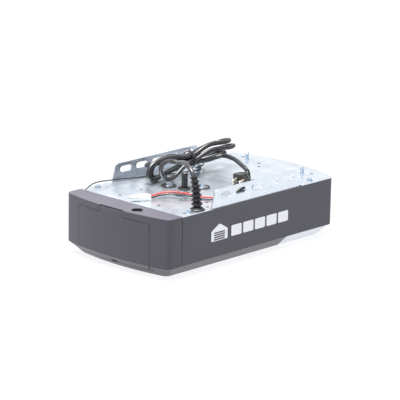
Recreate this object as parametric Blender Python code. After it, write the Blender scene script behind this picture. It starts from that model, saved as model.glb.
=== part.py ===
"""Garage door opener head: a steel chassis plate that carries the gearmotor, with a plastic housing below it.

Metres, +Z up. The origin is the middle of the head's underside. +X runs along the head towards the lamp lens,
-X towards the end cap with its access door, and the rail side (shaft, studs, hanging brackets) is on top.
"""

import math

import bmesh
import bpy
from mathutils import Matrix, Vector

# Driving dimensions
LENGTH = 0.432  # over both bowed ends
WIDTH = 0.235
PLATE_TOP = 0.1005  # height of the body
PLATE = 0.0015
WALL = 0.0025
SHOULDER = 0.019  # where the walls turn into the chamfer
CHAMFER = 0.020  # how far the flat bottom is set in
BOW_LENS_END = 0.302  # radii of the two bowed ends, in plan
BOW_DOOR_END = 0.480
CORNER = 0.011
SEAM_X = -0.172  # end cap to plate
LENS_X = 0.078  # housing to lens
GAP = 0.0003  # between touching pieces
RUNNING = 0.0004  # round turning pieces

PLATE_UNDER = PLATE_TOP - PLATE
WALL_TOP = PLATE_UNDER - GAP

# Hanging brackets
WEB_IN = 0.1125
WEB = 0.0022
WEB_X = (-0.102, 0.110)
WEB_HIGH = 0.029
WEB_TAPER = 0.007
FLANGE_IN = 0.094
SLOT_X = [-0.0707 + 0.0379 * i for i in range(5)]
SLOT_LONG = 0.026
SLOT_HIGH = 0.010
SLOT_Z = 0.118

# Access door
DOOR_HALF = 0.080
DOOR_TOP = 0.0885
DOOR_FOOT = 0.009
TAB_HALF = 0.026
TAB_TOP = 0.0980
DOOR_GAP = 0.0006
FINGER_HALF = 0.007
FINGER_HIGH = 0.0028
HINGE = (-0.216, 0.0, 0.0955)

# Output drive: worm along X, wheel on the output shaft
SHAFT_XY = (-0.046, 0.0)
SHAFT_TIP = 0.1285
SHAFT_R = 0.0048
RIBS = 12
RIB_HIGH = 0.0004
WHEEL_Z = (0.068, 0.080)
TEETH = 40
WHEEL_TIP = 0.0373
WHEEL_ROOT = 0.0335
WORM_Y = -0.043
WORM_Z = 0.074
WORM_ROOT = 0.0048
WORM_TIP = 0.0078
WORM_TURNS = 5
WORM_PITCH = 2 * math.pi * 0.0358 / TEETH
LEAD_SLOPE = WORM_PITCH / (2 * math.pi * 0.0065)
MOUNT_SCREWS = [(-0.052, 0.030), (-0.019, -0.015), (-0.074, -0.021)]

STUDS = [(0.175, 0.063), (0.175, -0.063), (0.051, 0.061), (0.051, -0.061)]
STUD_R = 0.003
STUD_TIP = 0.1150
PLATE_SCREWS = [(-0.1435, 0.1045), (-0.1435, -0.1045), (0.147, 0.105), (0.147, -0.105)]
SMALL_HOLES = [
    (-0.102, 0.045),
    (-0.102, -0.045),
    (-0.152, 0.044),
    (-0.152, -0.044),
    (-0.155, -0.1046),
    (-0.082, -0.0845),
    (-0.100, -0.1035),
    (0.182, 0.0785),
    (0.182, -0.0785),
    (0.152, 0.0145),
    (0.169, 0.030),
]
SMALL_HOLE_R = 0.00225

# Controls behind the door
PANEL_X = (-0.1890, -0.1865)
BUTTONS = {"button_up": 0.050, "button_down": 0.030, "button_set": 0.010, "button_learn": -0.010}
BUTTON_Z = 0.066
BUTTON_R = 0.0045
TERMINAL_Y = (-0.066, -0.030)
TERMINAL_Z = (0.040, 0.054)

# Mains lead
CORD_R = 0.0038
RELIEF = [(-0.125, -0.104, PLATE_TOP + GAP), (-0.125, -0.1025, 0.120), (-0.125, -0.0995, 0.140), (-0.1245, -0.095, 0.1535)]
RELIEF_RINGS = 7
LEAD = [
    (-0.1243, -0.0936, 0.1562),
    (-0.1220, -0.0865, 0.1620),
    (-0.1140, -0.0710, 0.1650),
    (-0.1020, -0.0540, 0.1642),
    (-0.0880, -0.0330, 0.1585),
    (-0.0740, -0.0110, 0.1515),
    (-0.0610, 0.0060, 0.1460),
    (-0.0500, 0.0165, 0.1420),
]
HANK_MIDDLE = (0.022, 0.056, 0.1270)
HANK_LONG = 0.200
HANK_WIDE = 0.056
HANK_THICK = 0.027
HANK_RISE = math.radians(5.6)
TIE_X = 0.023
TAIL = [
    (0.0815, 0.0262, 0.1290),
    (0.0790, 0.0150, 0.1295),
    (0.0740, 0.0000, 0.1297),
    (0.0665, -0.0145, 0.1297),
    (0.0570, -0.0310, 0.1293),
    (0.0480, -0.0460, 0.1293),
    (0.0435, -0.0553, 0.1280),
    (0.0405, -0.0605, 0.1260),
]
PLUG_FACE = (0.011, -0.072, PLATE_TOP + GAP + 0.0135)
PLUG_WAY = Vector((-0.96, -0.28, 0)).normalized()
PLUG_NECK = (0.0355, -0.0649, 0.1208)
PLUG_EXIT = Vector((0.62, 0.50, 0.60)).normalized()

# Thin wires
ANTENNA_R = 0.0008
ANTENNA = [
    (-0.1725, 0.1030, 0.1022),
    (-0.1640, 0.1045, 0.1050),
    (-0.1500, 0.1075, 0.1072),
    (-0.1340, 0.1090, 0.1072),
    (-0.1170, 0.1085, 0.1060),
    (-0.0980, 0.1075, 0.1045),
    (-0.0770, 0.1055, 0.1030),
    (-0.0560, 0.1000, 0.1022),
    (-0.0350, 0.0930, 0.1020),
    (-0.0100, 0.0830, 0.1020),
    (0.0150, 0.0730, 0.1022),
    (0.0350, 0.0670, 0.1030),
]
ANTENNA_TAIL = [
    (0.0600, 0.0600, 0.1100),
    (0.0680, 0.0660, 0.1108),
    (0.0760, 0.0730, 0.1090),
    (0.0840, 0.0800, 0.1050),
]
WRAP_R = STUD_R + 0.0017
WRAP_TURNS = 1.5
PAIR_R = 0.0011
PAIR_HOLE = (-0.0590, -0.0880)
PAIR_HOLE_R = 0.0042
PAIR = [
    (-0.1345, -0.0105, 0.1050),
    (-0.1260, -0.0120, 0.1060),
    (-0.1160, -0.0150, 0.1075),
    (-0.1050, -0.0240, 0.1090),
    (-0.0960, -0.0340, 0.1085),
    (-0.0850, -0.0460, 0.1065),
    (-0.0770, -0.0600, 0.1045),
    (-0.0715, -0.0710, 0.1035),
    (-0.0665, -0.0800, 0.1038),
    (-0.0615, -0.0860, 0.1030),
    (-0.0592, -0.0880, 0.1000),
    (-0.0590, -0.0882, 0.0940),
]
PAIR_APART = 0.0026
CONNECTOR = (-0.1510, -0.0015, PLATE_TOP + GAP + 0.004)
CONNECTOR_WAY = Vector((0.88, -0.47, 0)).normalized()

FINISH = {
    "dark_plastic": ((0.105, 0.103, 0.122), 0.45, 0.0),
    "galvanised_steel": ((0.74, 0.78, 0.82), 0.25, 1.0),
    "zinc_steel": ((0.55, 0.66, 0.74), 0.3, 1.0),
    "white_lens": ((0.86, 0.87, 0.88), 0.35, 0.0),
    "black_plastic": ((0.012, 0.012, 0.014), 0.4, 0.0),
    "black_rubber": ((0.010, 0.010, 0.011), 0.6, 0.0),
    "cord_pvc": ((0.035, 0.035, 0.038), 0.3, 0.0),
    "red_wire": ((0.62, 0.035, 0.03), 0.35, 0.0),
    "white_nylon": ((0.85, 0.86, 0.85), 0.4, 0.0),
    "brass": ((0.78, 0.62, 0.34), 0.3, 1.0),
    "dark_steel": ((0.20, 0.20, 0.21), 0.4, 1.0),
    "bright_steel": ((0.62, 0.62, 0.64), 0.25, 1.0),
    "cast_alloy": ((0.48, 0.49, 0.50), 0.5, 1.0),
    "bronze": ((0.50, 0.33, 0.16), 0.4, 1.0),
    "copper": ((0.56, 0.24, 0.10), 0.35, 1.0),
    "circuit_board": ((0.02, 0.16, 0.07), 0.4, 0.0),
    "relay_blue": ((0.03, 0.13, 0.42), 0.4, 0.0),
    "terminal_green": ((0.04, 0.28, 0.10), 0.45, 0.0),
    "natural_nylon": ((0.78, 0.76, 0.68), 0.5, 0.0),
    "button_red": ((0.55, 0.03, 0.03), 0.4, 0.0),
    "button_grey": ((0.45, 0.46, 0.48), 0.4, 0.0),
}


# Shapes


def material(name):
    """The finish's material, made the first time that it is asked for."""
    if name in bpy.data.materials:
        return bpy.data.materials[name]
    colour, roughness, metallic = FINISH[name]
    made = bpy.data.materials.new(name)
    made.use_nodes = True
    shader = made.node_tree.nodes["Principled BSDF"]
    shader.inputs["Base Color"].default_value = (*colour, 1)
    shader.inputs["Roughness"].default_value = roughness
    shader.inputs["Metallic"].default_value = metallic
    made.diffuse_color = (*colour, 1)
    return made


def add(name, mesh, finish, smooth=False):
    """A scene object of the mesh, with its finish."""
    made = bpy.data.objects.new(name, mesh)
    bpy.context.scene.collection.objects.link(made)
    if finish:
        mesh.materials.append(material(finish))
    if smooth:
        mesh.shade_smooth()
        mesh.set_sharp_from_angle(angle=math.radians(35))
    return made


def loft(name, rings, finish, smooth=False, closed=False):
    """A solid through rings of points; closed joins the last ring to the first, as on a bush."""
    shape = bmesh.new()
    loops = [[shape.verts.new(p) for p in ring] for ring in rings]
    pairs = list(zip(loops, loops[1:]))
    if closed:
        pairs.append((loops[-1], loops[0]))
    for low, high in pairs:
        for i in range(len(low)):
            j = (i + 1) % len(low)
            shape.faces.new((low[i], low[j], high[j], high[i]))
    if not closed:
        shape.faces.new(loops[0][::-1])
        shape.faces.new(loops[-1])
    bmesh.ops.recalc_face_normals(shape, faces=shape.faces)
    mesh = bpy.data.meshes.new(name)
    shape.to_mesh(mesh)
    shape.free()
    return add(name, mesh, finish, smooth)


def box(name, low, high, finish=None, bevel=0.0):
    """A box between two corners, with its edges bevelled where asked."""
    shape = bmesh.new()
    bmesh.ops.create_cube(shape, size=1)
    for v in shape.verts:
        v.co = [a + (b - a) * (c + 0.5) for a, b, c in zip(low, high, v.co)]
    if bevel:
        bmesh.ops.bevel(shape, geom=shape.edges, offset=bevel, segments=2, affect="EDGES", profile=0.5)
    mesh = bpy.data.meshes.new(name)
    shape.to_mesh(mesh)
    shape.free()
    return add(name, mesh, finish)


def circle(radius, count, turn=0.0):
    """Points round a circle, from the angle turn."""
    return [
        (radius * math.cos(turn + 2 * math.pi * i / count), radius * math.sin(turn + 2 * math.pi * i / count))
        for i in range(count)
    ]


def hexagon(across_flats, count=24):
    """A hexagon with as many points as a circle, so that the two can be lofted together."""
    points = []
    for i in range(count):
        angle = 2 * math.pi * i / count
        nearest = round(angle / (math.pi / 3)) * math.pi / 3
        radius = across_flats / 2 / math.cos(angle - nearest)
        points.append((radius * math.cos(angle), radius * math.sin(angle)))
    return points


def frame_of(axis):
    """The turn that takes +Z to the axis."""
    return Vector((0, 0, 1)).rotation_difference(Vector(axis)).to_matrix()


def turned(name, profile, at, finish, axis=(0, 0, 1), count=24, closed=False):
    """A turned piece: profile lists (radius, height) along the axis from the point at."""
    turn = frame_of(axis)
    rings = []
    for radius, height in profile:
        ring = circle(radius, count)
        rings.append([Vector(at) + turn @ Vector((x, y, height)) for x, y in ring])
    return loft(name, rings, finish, smooth=True, closed=closed)


def prism(name, outline, low, high, finish=None, axis="Z"):
    """An outline extruded between two heights along an axis; the outline lists the other two coordinates."""

    def place(p, h):
        return {"X": (h, p[0], p[1]), "Y": (p[0], h, p[1]), "Z": (p[0], p[1], h)}[axis]

    return loft(name, [[place(p, h) for p in outline] for h in (low, high)], finish)


def cut(target, cutters, operation="DIFFERENCE"):
    """Boolean modifiers of the target, one for each cutter, and the cutters left as guides."""
    for cutter in cutters:
        cutter.hide_render = True
        cutter.display_type = "WIRE"
        step = target.modifiers.new(cutter.name, "BOOLEAN")
        step.operation = operation
        step.solver = "EXACT"
        step.object = cutter
    return target


def drill(name, x, y, radius, low=PLATE_UNDER - 0.01, high=PLATE_TOP + 0.01, count=16):
    """A round cutter along Z."""
    return turned(name, [(radius, low), (radius, high)], (x, y, 0), None, count=count)


def smooth_path(route, step):
    """Points about a step apart on a smooth curve through the route's points (centripetal Catmull-Rom)."""
    p = [Vector(q) for q in route]
    p = [2 * p[0] - p[1]] + p + [2 * p[-1] - p[-2]]
    fine = []
    for a, b, c, d in zip(p, p[1:], p[2:], p[3:]):
        t1 = math.sqrt((b - a).length)
        t2 = t1 + math.sqrt((c - b).length)
        t3 = t2 + math.sqrt((d - c).length)
        for i in range(12):
            t = t1 + (t2 - t1) * i / 12
            ab = a * ((t1 - t) / t1) + b * (t / t1)
            bc = b * ((t2 - t) / (t2 - t1)) + c * ((t - t1) / (t2 - t1))
            cd = c * ((t3 - t) / (t3 - t2)) + d * ((t - t2) / (t3 - t2))
            abc = ab * ((t2 - t) / t2) + bc * (t / t2)
            bcd = bc * ((t3 - t) / (t3 - t1)) + cd * ((t - t1) / (t3 - t1))
            fine.append(abc * ((t2 - t) / (t2 - t1)) + bcd * ((t - t1) / (t2 - t1)))
    fine.append(p[-2])
    path, since = [fine[0]], 0.0
    for a, b in zip(fine, fine[1:]):
        since += (b - a).length
        if since >= step:
            path.append(b)
            since = 0.0
    if (path[-1] - fine[-1]).length > step / 3:
        path.append(fine[-1])
    else:
        path[-1] = fine[-1]
    return path


def tube(name, route, radius, finish, step=None):
    """A round cord along a route, as a bevelled curve with filled caps."""
    path = smooth_path(route, step or 5 * radius)
    line = bpy.data.curves.new(name, "CURVE")
    line.dimensions = "3D"
    line.bevel_depth = radius
    line.bevel_resolution = 2
    line.use_fill_caps = True
    spline = line.splines.new("POLY")
    spline.points.add(len(path) - 1)
    for point, place in zip(spline.points, path):
        point.co = (*place, 1)
    made = bpy.data.objects.new(name, line)
    line.materials.append(material(finish))
    bpy.context.scene.collection.objects.link(made)
    return made


# The body's plan


def plan(inset=0.0, ends=10, corner_steps=5):
    """The body's outline in plan, inset all round: straight sides, bowed ends and round corners."""
    half = WIDTH / 2 - inset

    def end(bow):
        """The end at +X, from y = 0 to the straight side."""
        radius = bow - inset
        middle = LENGTH / 2 - bow
        corner_y = half - CORNER
        corner_x = middle + math.sqrt((radius - CORNER) ** 2 - corner_y**2)
        meet = math.atan2(corner_y, corner_x - middle)
        points = []
        for i in range(ends):
            angle = meet * i / ends
            points.append((middle + radius * math.cos(angle), radius * math.sin(angle)))
        for i in range(corner_steps + 1):
            angle = meet + (math.pi / 2 - meet) * i / corner_steps
            points.append((corner_x + CORNER * math.cos(angle), corner_y + CORNER * math.sin(angle)))
        return points

    right = end(BOW_LENS_END)
    left = [(-x, y) for x, y in end(BOW_DOOR_END)]
    upper = right + left[::-1]
    return upper + [(x, -y) for x, y in upper[::-1] if y > 1e-9]


def level(inset, height):
    return [(x, y, height) for x, y in plan(inset)]


def body_shell(name, finish):
    """Walls, chamfer and bottom in one open-topped shell."""
    rings = [
        level(CHAMFER, 0),
        level(0, SHOULDER),
        level(0, WALL_TOP),
        level(WALL, WALL_TOP),
        level(WALL, SHOULDER + 0.001),
        level(CHAMFER + 0.001, WALL),
    ]
    return loft(name, rings, finish, smooth=True)


def door_outline(grow):
    """The door in the end face, as (y, z), grown all round by the gap that the housings leave.

    The door itself has a finger notch in its lower edge.
    """
    side = DOOR_HALF + grow
    tab = TAB_HALF + grow
    top = DOOR_TOP + grow
    foot = DOOR_FOOT - grow * 1.5
    radius = 0.005
    points = [(-side, foot), (side, foot)]
    if not grow:
        notch = foot + FINGER_HIGH
        points[1:1] = [(-FINGER_HALF, foot), (-FINGER_HALF + 0.001, notch), (FINGER_HALF - 0.001, notch), (FINGER_HALF, foot)]
    for i in range(5):
        angle = math.pi / 2 * i / 4
        points.append((side - radius + radius * math.cos(angle), top - radius + radius * math.sin(angle)))
    points += [(tab, top), (tab, TAB_TOP + grow), (-tab, TAB_TOP + grow), (-tab, top)]
    for i in range(5):
        angle = math.pi / 2 * (1 + i / 4)
        points.append((-side + radius + radius * math.cos(angle), top - radius + radius * math.sin(angle)))
    return points


# Casings


def casings():
    far = LENGTH
    housing = body_shell("main_housing", "dark_plastic")
    bosses = []
    for i, (x, y) in enumerate(PLATE_SCREWS):
        inner, outer = sorted((math.copysign(0.0985, y), math.copysign(WIDTH / 2 - 0.0012, y)))
        bosses.append(box(f"boss_{i}", (x - 0.006, inner, 0.078), (x + 0.006, outer, WALL_TOP)))
    cut(housing, bosses, "UNION")
    cut(
        housing,
        [
            box("housing_cut_cap", (-far, -far, SHOULDER), (SEAM_X, far, far)),
            box("housing_cut_lens", (LENS_X, -far, -far), (far, far, SHOULDER)),
            prism("housing_cut_door", door_outline(DOOR_GAP), -far, -0.185, axis="X"),
        ],
    )
    cut(housing, [drill(f"boss_hole_{i}", x, y, 0.0024, 0.084) for i, (x, y) in enumerate(PLATE_SCREWS)])

    lens = body_shell("light_lens", "white_lens")
    cut(lens, [box("lens_keep", (LENS_X + GAP, -far, -far), (far, far, SHOULDER - GAP))], "INTERSECT")

    rounding = 0.0012
    cap = loft(
        "end_cap",
        [
            level(WALL, PLATE_TOP - 0.002),
            level(WALL, SHOULDER + GAP),
            level(0, SHOULDER + GAP),
            level(0, PLATE_TOP - rounding),
            level(0.0004, PLATE_TOP - 0.0004),
            level(rounding, PLATE_TOP),
        ],
        "dark_plastic",
        smooth=True,
    )
    cut(cap, [box("cap_keep", (-far, -far, 0), (SEAM_X - GAP, far, far))], "INTERSECT")
    slot_back = HINGE[0] + 0.0034
    cut(
        cap,
        [
            prism("cap_cut_door", door_outline(DOOR_GAP), -far, -0.200, axis="X"),
            box("cap_cut_slot", (-far, -TAB_HALF - DOOR_GAP, DOOR_TOP), (slot_back, TAB_HALF + DOOR_GAP, far)),
            drill("cap_cut_cable_hole", -0.196, -0.040, 0.0092, count=24),
        ],
    )

    door = body_shell("access_door", "dark_plastic")
    cut(door, [prism("door_keep", door_outline(0), -far, -0.185, axis="X")], "INTERSECT")

    bulkhead = box("control_panel", (PANEL_X[0], -0.1145, 0.0205), (PANEL_X[1], 0.1145, 0.0980), "black_plastic")
    holes = []
    for name, y in BUTTONS.items():
        hole = [(BUTTON_R + RUNNING, PANEL_X[0] - 0.01), (BUTTON_R + RUNNING, PANEL_X[1] + 0.01)]
        holes.append(turned(f"panel_hole_{name}", hole, (0, y, BUTTON_Z), None, axis=(1, 0, 0), count=16))
    low = (PANEL_X[0] - 0.01, TERMINAL_Y[0] - GAP, TERMINAL_Z[0] - GAP)
    high = (PANEL_X[1] + 0.01, TERMINAL_Y[1] + GAP, TERMINAL_Z[1] + GAP)
    cut(bulkhead, holes + [box("panel_cut_terminal", low, high)])


# Steelwork


def chassis_plate():
    plate = loft(
        "chassis_plate",
        [level(0.0006, PLATE_UNDER), level(0.0006, PLATE_TOP)],
        "galvanised_steel",
    )
    cut(plate, [box("plate_keep", (SEAM_X + GAP, -1, 0), (1, 1, 1))], "INTERSECT")
    cutters = []
    for side in (1, -1):
        inner, outer = sorted((side * (WEB_IN - GAP), side * WIDTH))
        notch = (WEB_X[0] - 0.003, WEB_X[1] + 0.003)
        cutters.append(box(f"plate_notch_{side}", (notch[0], inner, 0.09), (notch[1], outer, 0.11)))
    cutters += [drill(f"plate_hole_{i}", x, y, SMALL_HOLE_R, count=10) for i, (x, y) in enumerate(SMALL_HOLES)]
    cutters += [drill(f"plate_stud_{i}", x, y, STUD_R + 2 * GAP, count=10) for i, (x, y) in enumerate(STUDS)]
    cutters += [drill(f"plate_screw_hole_{i}", x, y, 0.0026, count=8) for i, (x, y) in enumerate(PLATE_SCREWS)]
    cutters += [drill(f"plate_mount_{i}", x, y, 0.0102, count=16) for i, (x, y) in enumerate(MOUNT_SCREWS)]
    cutters.append(drill("plate_shaft", *SHAFT_XY, 0.0080, count=24))
    cutters.append(drill("plate_relief", RELIEF[0][0], RELIEF[0][1], 0.0070, count=24))
    cutters.append(drill("plate_pair", *PAIR_HOLE, PAIR_HOLE_R, count=16))
    cut(plate, cutters)


def hanging_bracket(name, side):
    """An L: the web stands up through the plate's edge notch, the flange lies under the plate."""
    foot = PLATE_UNDER - GAP - WEB
    top = PLATE_TOP + WEB_HIGH
    radius = 0.008
    left, right = WEB_X
    web = [(left, foot), (right, foot), (right, PLATE_TOP + 0.002)]
    for i in range(7):
        angle = math.pi / 2 * i / 6
        x = right - WEB_TAPER - radius + radius * math.cos(angle)
        web.append((x + 0.0012 * (1 - i / 6), top - radius + radius * math.sin(angle)))
    for i in range(7):
        angle = math.pi / 2 + (math.pi / 2) * i / 6
        x = left + WEB_TAPER + radius + radius * math.cos(angle)
        web.append((x - 0.0012 * i / 6, top - radius + radius * math.sin(angle)))
    web.append((left, PLATE_TOP + 0.002))
    near, far = sorted((side * WEB_IN, side * (WEB_IN + WEB)))
    bracket = prism(name, web, near, far, "galvanised_steel", axis="Y")
    inner, outer = sorted((side * FLANGE_IN, side * (WEB_IN + WEB / 2)))
    flange = box(f"{name}_flange", (left, inner, foot), (right, outer, foot + WEB))
    cut(bracket, [flange], "UNION")
    slots = []
    for i, x in enumerate(SLOT_X):
        straight = SLOT_LONG / 2 - SLOT_HIGH / 2
        outline = []
        for sign in (1, -1):
            for k in range(9):
                angle = -sign * math.pi / 2 + math.pi * k / 8
                px = x + sign * straight + SLOT_HIGH / 2 * math.cos(angle)
                outline.append((px, SLOT_Z + SLOT_HIGH / 2 * math.sin(angle)))
        slots.append(prism(f"{name}_slot_{i}", outline, side * 0.10 - 0.03, side * 0.10 + 0.03, axis="Y"))
    cut(bracket, slots)


def studs_and_screws():
    for i, (x, y) in enumerate(STUDS):
        profile = [
            (0.0048, PLATE_UNDER - GAP - 0.0022),
            (0.0048, PLATE_UNDER - GAP),
            (STUD_R, PLATE_UNDER - GAP),
            (STUD_R, STUD_TIP - 0.0012),
            (STUD_R - 0.0010, STUD_TIP),
        ]
        turned(f"rail_stud_{i + 1}", profile, (x, y, 0), "zinc_steel", count=12)
    for i, (x, y) in enumerate(PLATE_SCREWS):
        top = PLATE_TOP + GAP
        profile = [(0.0018, 0.0865), (0.0018, top), (0.0055, top), (0.0055, top + 0.0012), (0.0038, top + 0.0030)]
        turned(f"plate_screw_{i + 1}", profile, (x, y, 0), "zinc_steel", count=12)
    for i, (x, y) in enumerate(MOUNT_SCREWS):
        top = PLATE_TOP + GAP
        neck = 0.0096
        rubber = [
            (0.0062, PLATE_UNDER + 0.0001),
            (neck, PLATE_UNDER + 0.0001),
            (neck, top),
            (0.0128, top),
            (0.0128, top + 0.0012),
            (0.0118, top + 0.0022),
            (0.0092, top + 0.0022),
            (0.0088, top + 0.0006),
            (0.0062, top + 0.0006),
        ]
        turned(f"grommet_{i + 1}", rubber, (x, y, 0), "black_rubber", count=16, closed=True)
        washer = top + 0.0006 + GAP
        rings = [(circle(0.0028, 24), 0.0890)]
        rings += [(circle(0.0028, 24), washer), (circle(0.0082, 24), washer), (circle(0.0082, 24), washer + 0.0010)]
        rings += [(hexagon(0.0095), washer + 0.0010), (hexagon(0.0095), washer + 0.0030), (hexagon(0.0080), washer + 0.0034)]
        placed = [[(x + px, y + py, z) for px, py in ring] for ring, z in rings]
        loft(f"gearbox_screw_{i + 1}", placed, "zinc_steel")


# Drive


def gearbox():
    low = (-0.096, -0.060, 0.0520)
    high = (0.004, 0.048, 0.0984)
    wall = 0.003
    case = box("gearbox_housing", low, high, "cast_alloy", bevel=0.004)
    hollow = box("gearbox_hollow", (low[0] + wall, low[1] + wall, 0.04), (high[0] - wall, high[1] - wall, 0.0935))
    shaft_hole = drill("gearbox_bush_hole", *SHAFT_XY, 0.0093, 0.085, 0.11, count=24)
    worm_hole = turned(
        "gearbox_worm_hole", [(0.0033, -0.03), (0.0033, 0.02)], (0, WORM_Y, WORM_Z), None, axis=(1, 0, 0), count=16
    )
    screw_holes = [drill(f"gearbox_screw_hole_{i}", x, y, 0.0032, 0.08, 0.12) for i, (x, y) in enumerate(MOUNT_SCREWS)]
    cut(case, [hollow, shaft_hole, worm_hole] + screw_holes)
    box("gearbox_cover", (low[0], low[1], 0.0490), (high[0], high[1], 0.0517), "cast_alloy", bevel=0.0008)
    bush = [(0.0060, 0.0938), (0.0090, 0.0938), (0.0090, 0.0984), (0.0060, 0.0984)]
    turned("output_bush", bush, (*SHAFT_XY, 0), "bronze", closed=True)
    top = PLATE_TOP + GAP
    collar = [(0.0058, top), (0.0113, top), (0.0113, top + 0.0010), (0.0095, top + 0.0020), (0.0058, top + 0.0020)]
    turned("shaft_collar", collar, (*SHAFT_XY, 0), "black_plastic", closed=True)


def output_shaft():
    """A splined shaft whose ribs stop just above the collar, on a plain round journal."""
    steps = RIBS * 4
    ribbed, plain = [], []
    for i in range(steps):
        angle = 2 * math.pi * i / steps
        radius = SHAFT_R + (RIB_HIGH if i % 4 < 2 else 0)
        ribbed.append((radius * math.cos(angle), radius * math.sin(angle)))
        plain.append((SHAFT_R * math.cos(angle), SHAFT_R * math.sin(angle)))
    tip = [(x * 0.8, y * 0.8) for x, y in plain]
    stations = [
        (plain, 0.060),
        (plain, PLATE_TOP + 0.0035),
        (ribbed, PLATE_TOP + 0.0036),
        (ribbed, SHAFT_TIP - 0.0010),
        (tip, SHAFT_TIP),
    ]
    rings = [[(x, y, z) for x, y in ring] for ring, z in stations]
    shaft = loft("output_shaft", rings, "black_plastic")
    shaft.location = (*SHAFT_XY, 0)


def worm_wheel():
    """Helical teeth that follow the worm's lead, in a disc with a bore for the shaft."""
    middle = (WHEEL_Z[0] + WHEEL_Z[1]) / 2
    tooth = 2 * math.pi / TEETH
    rings = []
    for z in (WHEEL_Z[0], middle, WHEEL_Z[1]):
        twist = (z - middle) * LEAD_SLOPE / 0.0358
        ring = []
        for i in range(TEETH):
            centre = -math.pi / 2 + tooth * (i + 0.5) + twist
            for share, radius in ((-0.27, WHEEL_ROOT), (-0.13, WHEEL_TIP), (0.13, WHEEL_TIP), (0.27, WHEEL_ROOT)):
                angle = centre + share * tooth
                ring.append((radius * math.cos(angle), radius * math.sin(angle), z))
        rings.append(ring)
    wheel = loft("worm_wheel", rings, "natural_nylon")
    wheel.location = (*SHAFT_XY, 0)
    bore = turned("wheel_bore", [(SHAFT_R + GAP, 0.05), (SHAFT_R + GAP, 0.10)], (*SHAFT_XY, 0), None, count=24)
    cut(wheel, [bore])


def worm_shaft():
    """The motor's shaft with the worm turned on it: one start, right-hand, along X."""
    around, rows = 12, 8
    half = WORM_TURNS * WORM_PITCH / 2
    stations = [(0.0025, -0.046), (0.0025, -half - 0.001)]
    count = WORM_TURNS * rows
    rings = []
    for radius, x in stations:
        rings.append([(x, radius * math.cos(a), radius * math.sin(a)) for a in angles(around)])
    for i in range(count + 1):
        x = -half + i * WORM_PITCH / rows
        fade = min(1, i / rows, (count - i) / rows)
        ring = []
        for a in angles(around):
            wave = 0.5 + 0.5 * math.cos(2 * math.pi * x / WORM_PITCH - a)
            radius = WORM_ROOT + (WORM_TIP - WORM_ROOT) * fade * wave**1.6
            ring.append((x, radius * math.cos(a), radius * math.sin(a)))
        rings.append(ring)
    for radius, x in ((0.0025, half + 0.001), (0.0025, 0.1330)):
        rings.append([(x, radius * math.cos(a), radius * math.sin(a)) for a in angles(around)])
    shaft = loft("worm_shaft", rings, "bright_steel", smooth=True)
    shaft.location = (SHAFT_XY[0], WORM_Y, WORM_Z)


def angles(count):
    return [2 * math.pi * i / count for i in range(count)]


def motor():
    at = (0, WORM_Y, WORM_Z)
    way = (1, 0, 0)
    outer, inner = 0.0240, 0.0225
    can = [(0.0045, 0.0043), (outer, 0.0043), (outer, 0.0700), (inner, 0.0700), (inner, 0.0060), (0.0045, 0.0060)]
    turned("motor_can", can, at, "dark_steel", axis=way, count=32, closed=True)
    bell = [(0.0032, 0.0703), (outer, 0.0703), (outer, 0.0730), (0.012, 0.0745), (0.0032, 0.0745)]
    turned("motor_end_bell", bell, at, "black_plastic", axis=way, count=32, closed=True)
    core = [(0.0029, 0.0130), (0.0195, 0.0130), (0.0195, 0.0620), (0.0029, 0.0620)]
    turned("motor_armature", core, at, "copper", axis=way, count=24, closed=True)
    disc = [(0.0029, 0.0775), (0.0140, 0.0775), (0.0140, 0.0787), (0.0029, 0.0787)]
    turned("encoder_disc", disc, at, "black_plastic", axis=way, count=24, closed=True)


def electrics():
    core = box("transformer_core", (0.098, 0.018, 0.046), (0.164, 0.073, 0.0950), "dark_steel")
    windows = [
        box("core_window_left", (0.109, 0.00, 0.057), (0.120, 0.10, 0.084)),
        box("core_window_right", (0.142, 0.00, 0.057), (0.153, 0.10, 0.084)),
    ]
    cut(core, windows)
    coil = box("transformer_coil", (0.1094, 0.012, 0.0575), (0.1526, 0.079, 0.0835), "copper")
    cut(coil, [box("coil_hole", (0.1196, 0.0176, 0.0), (0.1424, 0.0734, 0.2))])
    box("control_board", (-0.166, -0.095, 0.0300), (-0.104, 0.095, 0.0316), "circuit_board")
    seat = 0.0316 + GAP
    box("relay_open", (-0.125, 0.050, seat), (-0.109, 0.069, seat + 0.0155), "relay_blue", bevel=0.0006)
    box("relay_close", (-0.125, 0.026, seat), (-0.109, 0.045, seat + 0.0155), "relay_blue", bevel=0.0006)
    can = [(0.0110, 0), (0.0110, 0.0280), (0.0100, 0.0290)]
    turned("smoothing_capacitor", can, (-0.140, -0.070, seat), "black_plastic")
    box("receiver_module", (-0.160, 0.010, seat), (-0.156, 0.050, seat + 0.018), "circuit_board")
    low = (-0.1960, TERMINAL_Y[0], TERMINAL_Z[0])
    high = (-0.1840, TERMINAL_Y[1], TERMINAL_Z[1])
    terminals = box("terminal_block", low, high, "terminal_green")
    ways = []
    for i in range(4):
        y = TERMINAL_Y[0] + 0.0045 + 0.009 * i
        ways.append(box(f"terminal_way_{i}", (-0.2, y - 0.0022, 0.0425), (-0.1900, y + 0.0022, 0.0475)))
    cut(terminals, ways)
    led_board()


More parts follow.
